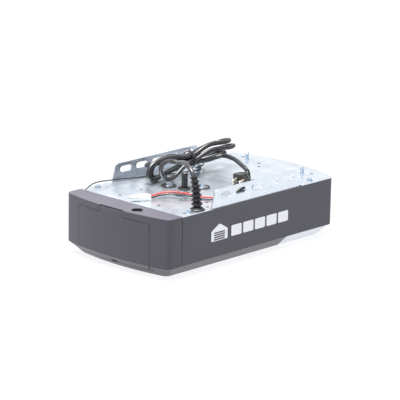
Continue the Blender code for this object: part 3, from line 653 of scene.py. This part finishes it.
def through_tie(lane, way):
    """The two points where a strand passes through the tie in its own lane."""
    y, z = LANES[lane]
    ends = []
    for reach in (-0.006 * way, 0.006 * way):
        ends.append(TIE + Vector((reach, y * PITCH, z * PITCH + reach * CLIMB)))
    return ends


def fold(start, across, width, way):
    """A half-round fold, from the near strand to the far one."""
    across = Vector(across)
    middle = Vector(start) + across * (width / 2)
    out = Vector((way, 0, way * CLIMB))
    made = []
    for step in range(-3, 4):
        turn = math.radians(step * 30)
        made.append(middle + (out * math.cos(turn) + across * math.sin(turn)) * (width / 2))
    return made


def hank_route():
    """Four folds to the left of the tie, three to the right, and a small loop where the lead comes in."""
    entry = (
        (-0.0549, 0.0200, 0.1449), (-0.0598, 0.0290, 0.1435), (-0.0642, 0.0350, 0.1380),
        (-0.0639, 0.0390, 0.1290), (-0.0569, 0.0410, 0.1170), (-0.0440, 0.0415, 0.1075),
        (-0.0270, 0.0430, 0.1075), (-0.0101, 0.0465, 0.1150),
    )
    away = Vector((0, 0.957, -0.290))
    top_fold = fold((0.102, 0.045, 0.1470), away, 0.040, 1)
    low_fold = fold((0.106, 0.038, 0.1381), away, 0.038, 1)
    side_fold = fold((0.098, 0.050, 0.1244), (0, 0.987, -0.16), 0.034, 1)
    edge_fold = fold((-0.022, 0.0713, 0.1289), away, 0.036, -1)
    big = (
        (0.0020, 0.058, 0.1352), (-0.0200, 0.060, 0.1372), (-0.0420, 0.060, 0.1368),
        (-0.0580, 0.060, 0.1335), (-0.0695, 0.060, 0.1255), (-0.0725, 0.060, 0.1160),
        (-0.0665, 0.060, 0.1080), (-0.0560, 0.060, 0.1053), (-0.0430, 0.060, 0.1085),
        (-0.0300, 0.0595, 0.1125), (-0.0170, 0.0585, 0.1150), (-0.0040, 0.057, 0.1172),
    )
    nested = []
    for x, y, z in big:
        inward = 0.013 * min(1, max(0, -x / 0.03)) * (1 if z > 0.112 else 0.6)
        nested.append((x + 0.004 + inward, y + 0.0085, z - 0.0008))
    route = list(LEAD) + list(entry)
    route += through_tie("near", 1) + [(0.064, 0.044, 0.1395)] + low_fold
    route += [(0.064, 0.060, 0.1290)] + through_tie("middle", -1) + edge_fold
    route += through_tie("far", 1) + side_fold[::-1] + through_tie("near_foot", -1)
    route += nested[::-1]
    route += through_tie("far_top", 1) + [(0.062, 0.068, 0.1375)] + top_fold[::-1]
    route += [(0.064, 0.050, 0.1470)] + through_tie("near_top", -1) + list(big)
    route += through_tie("far_foot", 1) + list(TAIL)
    return relaxed(evened(curved(route, 14), 0.003), 6)


def beside(route, apart, lift):
    """The route moved sideways and up."""
    made = []
    points = [Vector(p) for p in route]
    for i, place in enumerate(points):
        way = points[min(i + 1, len(points) - 1)] - points[max(i - 1, 0)]
        flat = Vector((-way.y, way.x, 0)).normalized() if way.xy.length > 1e-5 else Vector((0, 1, 0))
        made.append(place + flat * apart + Vector((0, 0, lift)))
    return made


ANTENNA = (
    (-0.1725, 0.1030, 0.1022), (-0.1640, 0.1045, 0.1050), (-0.1500, 0.1075, 0.1072),
    (-0.1340, 0.1090, 0.1072), (-0.1170, 0.1085, 0.1060), (-0.0980, 0.1075, 0.1045),
    (-0.0770, 0.1055, 0.1030), (-0.0560, 0.1000, 0.1022), (-0.0350, 0.0930, 0.1020),
    (-0.0100, 0.0830, 0.1020), (0.0150, 0.0730, 0.1022), (0.0350, 0.0670, 0.1030),
)
ANTENNA_TAIL = (
    (0.0600, 0.0600, 0.1100), (0.0680, 0.0660, 0.1108), (0.0760, 0.0730, 0.1090), (0.0840, 0.0800, 0.1050),
)
WRAP_R = STUD_R + 0.0017
WRAP_TURNS = 1.5


def antenna_route():
    """From the end cap along the plate, a turn and a half up a rail stud, and off its far side."""
    x, y = STUDS[2]
    wrap = []
    steps = round(WRAP_TURNS * 10)
    for i in range(steps + 1):
        turn = math.radians(200) + 2 * math.pi * WRAP_TURNS * i / steps
        level = 0.1040 + 0.0070 * i / steps
        wrap.append((x + WRAP_R * math.cos(turn), y + WRAP_R * math.sin(turn), level))
    return evened(curved(list(ANTENNA) + wrap + list(ANTENNA_TAIL), 8), 0.0015)


PAIR = (
    (-0.1345, -0.0105, 0.1050), (-0.1260, -0.0120, 0.1060), (-0.1160, -0.0150, 0.1075),
    (-0.1050, -0.0240, 0.1090), (-0.0960, -0.0340, 0.1085), (-0.0850, -0.0460, 0.1065),
    (-0.0770, -0.0600, 0.1045), (-0.0715, -0.0710, 0.1035), (-0.0665, -0.0800, 0.1038),
    (-0.0615, -0.0860, 0.1030), (-0.0592, -0.0880, 0.1000), (-0.0590, -0.0882, 0.0940),
)
PAIR_APART = 0.0026


# ---------------------------------------------------------------- plug and connectors

PLUG_FACE = Vector((0.011, -0.072, 0.1143))
PLUG_WAY = Vector((-0.96, -0.28, 0)).normalized()
PLUG_ACROSS = (0.28, -0.96, 0)
PLUG_NECK = Vector((0.0355, -0.0649, 0.1208))
PLUG_EXIT = Vector((0.62, 0.50, 0.60)).normalized()


def plug_body():
    """The moulded plug: a square face, waisted grip, and a neck that turns up to the cord."""
    half = 0.0135
    block((-0.0080, -half, -half), (0, half, half))
    choose("EDGE", lambda place, way: abs(way.x) > 0.9 and place.y > 0)
    bpy.ops.mesh.bevel(offset=0.0115, segments=1)
    done()
    choose("FACE", lambda place, way: way.x < -0.9)
    for move, wide, high in (
        ((-0.0070, 0, 0.0008), 0.80, 0.94),
        ((-0.0055, 0, 0.0020), 0.78, 0.80),
        ((-0.0050, 0, 0.0016), 0.80, 0.74),
    ):
        draw_out(move)
        bpy.ops.transform.resize(value=(1, wide, high))
    done()
    choose("FACE", lambda place, way: way.y > 0.4 and way.z > 0.4 and place.x > -0.016)
    bpy.ops.mesh.inset(thickness=0.0026)
    draw_out((0, -0.0008, -0.0008))
    done()
    body = stand(bpy.context.object, PLUG_FACE, PLUG_WAY, PLUG_ACROSS)
    rounded = body.modifiers.new("corner_round", "BEVEL")
    rounded.width = 0.0015
    rounded.segments = 4
    rounded.limit_method = "ANGLE"
    rounded.angle_limit = math.radians(35)
    bpy.ops.object.modifier_apply(modifier=rounded.name)
    bpy.ops.object.shade_smooth_by_angle(angle=math.radians(50))
    parts = [body]
    for i in range(4):
        turned((0, 0, 0), 0.0062 - 0.0004 * i, 0.0024, 32, 0.0058 - 0.0004 * i)
        soften(0.0005, 2)
        spot = PLUG_NECK + PLUG_EXIT * (-0.0062 + 0.0034 * i)
        parts.append(point_up(bpy.context.object, spot, PLUG_EXIT))
    turned((0, 0, 0), 0.0052, 0.0150, 32, 0.0042)
    parts.append(point_up(bpy.context.object, PLUG_NECK - PLUG_EXIT * 0.0085, PLUG_EXIT))
    for side in (-1, 1):
        for i in range(4):
            back = -0.0118 + 0.0021 * i
            flank = side * 0.0128
            block((back, flank - 0.0006, -0.0062), (-0.0108 + 0.0021 * i, flank + 0.0006, 0.0062))
            soften(0.0003, 2)
            parts.append(stand(bpy.context.object, PLUG_FACE, PLUG_WAY, PLUG_ACROSS))
    join(parts)
    return keep("plug_moulding", "black_plastic", replaced=["plug_body"])


CONNECTOR = Vector((-0.1510, -0.0015, 0.1048))
CONNECTOR_WAY = Vector((0.88, -0.47, 0)).normalized()
CONNECTOR_ACROSS = (0.47, 0.88, 0)


def connector_half(name, node, start, end, wide, high, latch):
    """One nylon half: ribbed shell, shoulder and locking arm."""
    block((start, -wide / 2, -high / 2), (end, wide / 2, high / 2))
    far = end if latch else start
    choose("FACE", lambda place, way: abs(place.x - far) < 1e-5)
    bpy.ops.mesh.inset(thickness=0.0012)
    draw_out((-0.0025 if latch else 0.0025, 0, 0))
    done()
    parts = [soften(0.0006, 3)]
    middle = (start + end) / 2
    for side in (-1, 1):
        for i in range(3):
            x = middle + (i - 1) * 0.0035
            flank = side * wide / 2
            block((x - 0.0006, flank - 0.0004, -high * 0.36), (x + 0.0006, flank + 0.0004, high * 0.36))
            parts.append(soften(0.0003, 2))
    if latch:
        block((start - 0.0050, -0.0022, high / 2 - 0.0006), (end - 0.0070, 0.0022, high / 2 + 0.0012))
        parts.append(soften(0.0004, 2))
        block((start - 0.0050, -0.0030, high / 2 - 0.0004), (start - 0.0030, 0.0030, high / 2 + 0.0018))
        parts.append(soften(0.0004, 2))
    half = join(parts)
    stand(half, CONNECTOR, CONNECTOR_WAY, CONNECTOR_ACROSS)
    return keep(name, "white_nylon", replaced=[node])


def cords():
    """The mains lead in its hank, the receiver's aerial and the battery pair, each a free cord."""
    plug = plug_body()
    route = hank_route()
    runs = ("power_cord_lead", "power_cord_hank", "power_cord_tail")
    mains = strand("mains_lead", route, CORD_R, "cord_pvc", runs, 5)
    round(length_of(route), 2)
    line = antenna_route()
    aerial = strand("receiver_aerial", line, ANTENNA_R, "cord_pvc", ("antenna_wire",), 3)
    round(length_of(line), 3)
    plug_half = connector_half(
        "battery_connector_plug", "connector_plug", -0.0033, 0.0168, 0.0130, 0.0080, True)
    socket_half = connector_half(
        "battery_connector_socket", "connector_socket", -0.0168, -0.0036, 0.0115, 0.0068, False)
    for name, node, slot, side, half in (
        ("battery_wire_red", "battery_lead_red", "red_wire", 1, plug_half),
        ("battery_wire_black", "battery_lead_black", "cord_pvc", -1, socket_half),
    ):
        pair = evened(curved(beside(PAIR, side * PAIR_APART / 2, side * 0.0012), 8), 0.002)
        wire = strand(name, pair, PAIR_R, slot, (node,), 3)
        round(length_of(pair), 3)


def twist_tie():
    """A plastic-covered wire strip round the bundle, its ends twisted together above it."""
    clear()
    bpy.ops.mesh.primitive_torus_add(
        major_radius=0.0142, minor_radius=0.0011, major_segments=64, minor_segments=8)
    hoop = bpy.context.object
    hoop.scale = (1.0, 1.0, 1.9)
    hoop.rotation_euler = (0, math.radians(84), 0)
    hoop.location = TIE + Vector((0, 0, 0.0002))
    settle()
    bpy.ops.object.shade_smooth()
    parts = [bpy.context.object]
    for phase in (0, math.pi):
        spots = []
        for i in range(25):
            share = i / 24
            turn = phase + share * 4.5 * math.pi
            reach = 0.0010 if share < 0.8 else 0.0010 + (share - 0.8) * 0.016
            spots.append(Vector((
                TIE.x - 0.001 - 0.012 * share + reach * math.cos(turn) * 0.4,
                TIE.y - 0.008 - 0.004 * share + reach * math.cos(turn),
                TIE.z + 0.0135 + 0.0075 * share + reach * math.sin(turn),
            )))
        pick(tube("tie_end", spots, 0.0008, 2))
        bpy.ops.object.convert(target="MESH")
        parts.append(bpy.context.object)
    join(parts)
    return keep("cord_twist_tie", "black_plastic", replaced=["cord_tie"])


# ---------------------------------------------------------------- strain relief

RELIEF_RINGS = 7
RELIEF_FOOT_R = 0.0125
RELIEF_FOOT = ((0.0012, 1.0), (0.0010, 0.80), (0.0018, 0.90))
WINDOW_FACING = math.radians(44)
WINDOW_DEPTH = 0.0034
LINE_STEP = 0.0005


def bend_along(piece, path, reach):
    """Bends a piece that stands on the origin so that its Z follows the path."""
    line = evened(curved(path, 16), LINE_STEP)
    for corner in piece.data.vertices:
        along = max(0.0, min(corner.co.z, reach - 1e-4))
        index = min(int(along / LINE_STEP), len(line) - 2)
        way = (line[min(index + 2, len(line) - 1)] - line[max(index - 1, 0)]).normalized()
        if along < 0.003:
            way = way.lerp(Vector((0, 0, 1)), 1 - along / 0.003).normalized()
        across = Vector((0, 1, 0)).cross(way).normalized()
        over = way.cross(across).normalized()
        step = (line[index + 1] - line[index]).normalized()
        spot = line[index] + step * (corner.co.z - index * LINE_STEP)
        corner.co = spot + across * corner.co.x + over * corner.co.y
    piece.data.update()


def strain_relief():
    """A flared foot and seven ribs, with a pair of windows between each two, bent the cord's way."""
    reach = length_of(curved(RELIEF, 8))
    clear()
    bpy.ops.mesh.primitive_circle_add(vertices=32, radius=RELIEF_FOOT_R, fill_type="NGON")
    for slot in ("black_rubber", "cord_pvc"):
        bpy.context.object.data.materials.append(FINISHES[slot])
    settle()
    choose("FACE", lambda place, way: True)
    rise(RELIEF_FOOT)
    level = 0.0040
    pitch = (reach - level) / RELIEF_RINGS
    width = RELIEF_FOOT_R * 0.80 * 0.90
    windows = []
    for i in range(RELIEF_RINGS):
        share = i / (RELIEF_RINGS - 1)
        rib = 0.0091 + (0.0065 - 0.0091) * share
        core = rib * 0.74
        windows.append((level + pitch * 0.10, level + pitch * 0.54))
        rise((
            (pitch * 0.10, core / width), (pitch * 0.44, 1.0),
            (pitch * 0.10, rib / core), (pitch * 0.36, 0.99),
        ))
        width = rib * 0.99
        level += pitch
    done()
    for low, high in windows:

        def window(place, way):
            turn = math.atan2(place.y, place.x) - WINDOW_FACING
            return low < place.z < high and abs(way.z) <= 0.3 and abs(math.cos(turn)) > 0.74

        choose("FACE", window)
        bpy.ops.mesh.inset(thickness=0.0003)
        bpy.ops.mesh.extrude_region_shrink_fatten(TRANSFORM_OT_shrink_fatten={"value": -WINDOW_DEPTH})
        bpy.context.object.active_material_index = 1
        bpy.ops.object.material_slot_assign()
        done()
    turn_out()
    bend_along(soften(0.00035, 2, 28), RELIEF, reach)
    return keep("cord_strain_relief", "black_rubber", replaced=["strain_relief"], inlaid=True)


# ---------------------------------------------------------------- screws, studs and grommets

def stud(name, node, x, y):
    """A clinch stud: round foot, turned thread and a pointed tip."""
    clear()
    bpy.ops.mesh.primitive_circle_add(
        vertices=24, radius=STUD_FOOT_R, fill_type="NGON", location=(x, y, STUD_FOOT_Z))
    settle()
    choose("FACE", lambda place, way: True)
    rise(((0.0022, 1.0), (0.0001, STUD_R / STUD_FOOT_R), (0.0020, 1.0)))
    for _ in range(STUD_THREADS):
        rise(((0.00024, 0.88), (0.00012, 1.0), (0.00024, 1 / 0.88), (0.00026, 1.0)))
    rise(((0.0004, 0.86), (0.0006, 0.80)))
    done()
    turn_out()
    bpy.ops.object.shade_smooth_by_angle(angle=math.radians(24))
    return keep(name, "zinc_steel", replaced=[node])


def hex_screw(name, node, x, y, low, washer, head, slot="zinc_steel"):
    """A flanged hexagon screw with a dished, eased head."""
    turned((x, y, low - 0.012), 0.0018, 0.0121, 16)
    parts = [bpy.context.object]
    turned((x, y, low), washer, 0.0008, 48, washer * 0.96)
    parts.append(soften(0.00018, 2))
    turned((x, y, low + 0.0007), head, 0.0024, 6)
    choose("FACE", top(low + 0.0031))
    bpy.ops.mesh.inset(thickness=0.0008)
    draw_out((0, 0, -0.0005))
    done()
    parts.append(soften(0.00035, 3, 25))
    join(parts)
    return keep(name, slot, replaced=[node])


def grommet(index, x, y):
    """A rubber ring under a bright washer and a blue hexagon screw."""
    low = 0.1008
    ring((x, y, low + 0.0009), 0.0116, 0.0012, 56, 12, 0.72)
    bpy.ops.object.shade_smooth()
    outer = bpy.context.object
    turned((x, y, PLATE_TOP - 0.0014), 0.0096, 0.0024, 48)
    choose("FACE", lambda place, way: abs(way.z) > 0.9)
    bpy.ops.mesh.inset(thickness=0.0030)
    bpy.ops.mesh.bridge_edge_loops()
    done()
    join([outer, bpy.context.object])
    keep(f"rubber_grommet_{index}", "black_rubber", replaced=[f"grommet_{index}"])
    turned((x, y, low + 0.0006), 0.0105, 0.0009, 56)
    soften(0.0003, 3)
    keep(f"grommet_washer_{index}", "bright_steel")
    hex_screw(f"gearbox_bolt_{index}", f"gearbox_screw_{index}", x, y, low + 0.0013, 0.0060, 0.0047)


def fixings():
    """Every stud, bolt and grommet on the plate."""
    for i, (x, y) in enumerate(STUDS):
        stud(f"rail_clinch_stud_{i + 1}", f"rail_stud_{i + 1}", x, y)
    for i, (x, y) in enumerate(PLATE_SCREWS):
        hex_screw(f"plate_bolt_{i + 1}", f"plate_screw_{i + 1}", x, y, PLATE_TOP + 0.0003, 0.0055, 0.0040)
    for i, (x, y) in enumerate(GEARBOX_SCREWS):
        grommet(i + 1, x, y)


# ---------------------------------------------------------------- plate and brackets

def eased(node, name, slot, width, angle=30, segments=2, body="head"):
    """A merged copy of a CAD node with its edges rounded."""
    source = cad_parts[node]
    piece = source.copy()
    piece.data = source.data.copy()
    piece.parent = None
    piece.matrix_world = Matrix.Identity(4)
    scene.collection.objects.link(piece)
    pick(piece)
    bpy.ops.object.mode_set(mode="EDIT")
    bpy.ops.mesh.select_all(action="SELECT")
    bpy.ops.mesh.remove_doubles(threshold=0.00002)
    bpy.ops.mesh.dissolve_limited(angle_limit=math.radians(0.6))
    bpy.ops.object.mode_set(mode="OBJECT")
    soften(width, segments, angle)
    true = piece.modifiers.new("true_faces", "WEIGHTED_NORMAL")
    true.weight = 100
    true.keep_sharp = True
    bpy.ops.object.modifier_apply(modifier=true.name)
    return keep(name, slot, body, [node])


def hole_plugs():
    """Dark discs set just under the plate top in the small holes of the plate, each with a thin dished rim:
    painted shade that stands in for the dark inside the holes.
    """
    parts = []
    for x, y in PLATE_HOLES:
        # a black disc fills each hole: painted shade, not a real plug
        turned((x, y, PLATE_TOP - 0.0001), HOLE_SHADE_R, 0.0003, 24, HOLE_SHADE_R * 0.92)
        choose("FACE", top(PLATE_TOP + 0.0002))
        bpy.ops.mesh.inset(thickness=0.0005)
        draw_out((0, 0, -0.0002))
        done()
        parts.append(bpy.context.object)
    join(parts)
    bpy.ops.object.shade_smooth_by_angle(angle=math.radians(30))
    return keep("plate_hole_shade_discs", "black_plastic")


def joint_strips():
    """Black strips laid a hair proud over the joint between the end cap and the body, and beside the keypad
    door: painted shade of the seam gaps.
    """
    low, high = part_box("end_cap")
    parts = []
    for side in (-1, 1):
        face = side * abs(SIDE_Y)
        near, far = sorted((face + side * 0.00012, face - side * 0.0006))
        block((SEAM_X - 0.0009, near, low.z + 0.0004), (SEAM_X + 0.0009, far, high.z - 0.0030))
        parts.append(soften(0.0001, 2))
    door_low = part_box("access_door")[0]
    corners = bpy.data.objects["keypad_door"].data.vertices
    face = min(corner.co.x for corner in corners if corner.co.y < door_low.y + 0.0008)
    block(
        (face - 0.00005, door_low.y - 0.0010, door_low.z + 0.004),
        (face + 0.0012, door_low.y - 0.0001, DOOR_JOINT_TOP))
    parts.append(soften(0.0001, 2))
    join(parts)
    # the strips are painted shade for the gaps, not a gasket
    return keep("moulding_seam_shade_strips", "black_rubber")


def pressed_rib():
    """A pressed stiffening step across the chassis plate."""
    block((0.0510, -0.047, PLATE_TOP - 0.0002), (0.0630, 0.047, PLATE_TOP + 0.0007))
    choose("FACE", top(PLATE_TOP + 0.0007))
    bpy.ops.transform.resize(value=(0.40, 0.93, 1))
    done()
    soften(0.0006, 3, 20)
    return keep("plate_pressed_rib", "galvanised_steel")


def shaft_parts():
    """The black collar round the drive shaft."""
    x, y = SHAFT
    ring((x, y, 0.1019), 0.0084, 0.0028, 64, 12, 0.36)
    bpy.ops.object.shade_smooth()
    return keep("shaft_seal_collar", "black_rubber", replaced=["shaft_collar"])


def cable_hole():
    """A rubber bush round the wiring hole in the end cap, closed by a thin dished membrane."""
    x, y = CABLE_HOLE
    ring((x, y, PLATE_TOP + 0.0001), 0.0091, 0.0007, 56, 10)
    bpy.ops.object.shade_smooth()
    parts = [bpy.context.object]
    turned((x, y, PLATE_TOP - 0.0042), 0.0090, 0.0012, 48)
    choose("FACE", top(PLATE_TOP - 0.0030))
    bpy.ops.mesh.inset(thickness=0.0040)
    draw_out((0, 0, -0.0007))
    done()
    parts.append(soften(0.0003, 2))
    join(parts)
    return keep("cable_hole_bush", "black_rubber")


# ---------------------------------------------------------------- keypad behind the door

FACING_X = (0, math.pi / 2, 0)


def keypad():
    """Four dished keys in raised collars on the panel, and a small lamp beside them."""
    for name, y in BUTTONS:
        low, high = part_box(name)
        slot = "button_red" if name == "button_learn" else "button_grey"
        clear()
        middle = (low + high) / 2
        bpy.ops.mesh.primitive_cylinder_add(
            vertices=40, radius=0.0045, depth=high.x - low.x, location=middle, rotation=FACING_X)
        settle()
        choose("FACE", lambda place, way: way.x < -0.9)
        bpy.ops.mesh.inset(thickness=0.0011)
        draw_out((-0.0003, 0, 0))
        bpy.ops.mesh.inset(thickness=0.0010)
        draw_out((0.0005, 0, 0))
        done()
        soften(0.0004, 3)
        keep(name.replace("button", "keycap"), slot, name.replace("button", "key"), [name])
        clear()
        bpy.ops.mesh.primitive_torus_add(
            major_radius=0.0062, minor_radius=0.0010, major_segments=48, minor_segments=10,
            location=(PANEL_FACE, y, BUTTON_Z), rotation=FACING_X)
        settle()
        bpy.ops.object.shade_smooth()
        keep(name.replace("button", "key_collar"), "black_plastic")
    clear()
    bpy.ops.mesh.primitive_uv_sphere_add(
        segments=24, ring_count=12, radius=0.0024, location=(PANEL_FACE, 0.066, BUTTON_Z))
    settle()
    choose("FACE", lambda place, way: place.x > PANEL_FACE)
    bpy.ops.mesh.delete(type="FACE")
    done()
    bpy.ops.object.shade_smooth()
    keep("status_lamp", "relay_blue")


# ---------------------------------------------------------------- the mark on the side

EMBLEM_FOOT = 0.0455
EMBLEM_EAVE = 0.0625
EMBLEM_RIDGE = 0.0725
EMBLEM_SIDES = (-0.105, -0.067)
EMBLEM_LIFT = 0.00012


def emblem():
    """A plain sign of a garage with a slatted door, and a row of door panels beside it."""
    near = SIDE_Y - EMBLEM_LIFT
    far = SIDE_Y + 0.0004
    left, right = EMBLEM_SIDES
    block((left, near, EMBLEM_FOOT), (right, far, EMBLEM_EAVE))
    choose("FACE", lambda place, way: way.z > 0.9)
    draw_out((0, 0, EMBLEM_RIDGE - EMBLEM_EAVE))
    bpy.ops.transform.resize(value=(0.10, 1, 1))
    parts = [done()]
    for i in range(4):
        low = EMBLEM_FOOT + 0.0012 + i * 0.0037
        block((left + 0.0065, near - EMBLEM_LIFT, low), (right - 0.0065, far, low + 0.0023))
        keep(f"emblem_slat_{i + 1}", "dark_plastic")
    for i in range(5):
        start = -0.0580 + i * 0.0283
        block((start, near, EMBLEM_FOOT + 0.001), (start + 0.0245, far, EMBLEM_EAVE + 0.002))
        choose("EDGE", lambda place, way: abs(way.y) > 0.9)
        bpy.ops.mesh.bevel(offset=0.0020, segments=3)
        parts.append(done())
    join(parts)
    return keep("side_emblem", "printed_white")


# ---------------------------------------------------------------- room and light

SOFTBOXES = (
    ("key_softbox", (-1.6, -2.2, 2.6), 1.8, 22),
    ("fill_softbox", (-3.0, 0.8, 1.2), 1.4, 16),
    ("top_softbox", (-0.1, 0.3, 2.6), 1.5, 230),
)
SWEEP_WAY = (0.70, 0.66, 0.28)
SWEEP = ((1, 0.25), (2, 0.80), (3, 0.58), (4, 0.84))
BACKDROP_LEVEL = 1.06


def pale_floor():
    """Plain white paper, lit a little from behind."""
    clear()
    bpy.ops.mesh.primitive_plane_add(size=14, location=(0, 0, -0.0005))
    floor = bpy.context.object
    floor.name = "floor"
    paper = Finish("floor_paper", Roughness=0.9, Emission_Strength=0.90)
    paper.shader.inputs["Emission Color"].default_value = (0.97, 0.98, 1.0, 1)
    grey = paper.blend(paper.noise(3, 2), (0.055, 0.055, 0.055, 1), (0.065, 0.065, 0.065, 1))
    paper.feed("Base Color", grey)
    floor.data.materials.append(paper.material)


def studio_world():
    """A white backdrop, and a softer surround that grows brighter towards one side."""
    world = bpy.data.worlds.new("studio")
    scene.world = world
    world.use_nodes = True
    tree = world.node_tree
    backdrop = tree.nodes["Background"]
    backdrop.inputs[0].default_value = (0.98, 0.99, 1.0, 1)
    seen = tree.nodes.new("ShaderNodeLightPath")
    way = tree.nodes.new("ShaderNodeTexCoord")
    along = tree.nodes.new("ShaderNodeVectorMath")
    along.operation = "DOT_PRODUCT"
    along.inputs[1].default_value = SWEEP_WAY
    sweep = tree.nodes.new("ShaderNodeMapRange")
    for socket, value in SWEEP:
        sweep.inputs[socket].default_value = value
    level = tree.nodes.new("ShaderNodeMapRange")
    level.inputs[4].default_value = BACKDROP_LEVEL
    tree.links.new(way.outputs["Generated"], along.inputs[0])
    tree.links.new(along.outputs["Value"], sweep.inputs[0])
    tree.links.new(sweep.outputs[0], level.inputs[3])
    tree.links.new(seen.outputs["Is Camera Ray"], level.inputs[0])
    tree.links.new(level.outputs[0], backdrop.inputs[1])


def room():
    """The floor, the surround and three softboxes aimed at the head."""
    scene.view_settings.view_transform = "Standard"
    pale_floor()
    studio_world()
    for name, place, size, power in SOFTBOXES:
        data = bpy.data.lights.new(name, "AREA")
        data.size = size
        data.energy = power
        lamp = bpy.data.objects.new(name, data)
        scene.collection.objects.link(lamp)
        lamp.location = place
        aim = Vector((0, 0, 0.08)) - Vector(place)
        lamp.rotation_euler = aim.to_track_quat("-Z", "Y").to_euler()


# ---------------------------------------------------------------- making it all

camera()
cords()
twist_tie()
strain_relief()
finish_frame()
fixings()
eased("main_housing", "housing_shell", "dark_plastic", 0.0006)
eased("end_cap", "end_cap_shell", "dark_plastic", 0.0006)
eased("access_door", "keypad_door", "dark_plastic", 0.0004, body="door")
eased("light_lens", "lamp_lens", "white_lens", 0.0006)
eased("chassis_plate", "chassis_sheet", "galvanised_steel", 0.0003)
eased("hanging_bracket_front", "bracket_front", "galvanised_steel", 0.0004)
eased("hanging_bracket_rear", "bracket_rear", "galvanised_steel", 0.0004)
pressed_rib()
hole_plugs()
joint_strips()
keypad()
shaft_parts()
cable_hole()
emblem()
room()
clear()
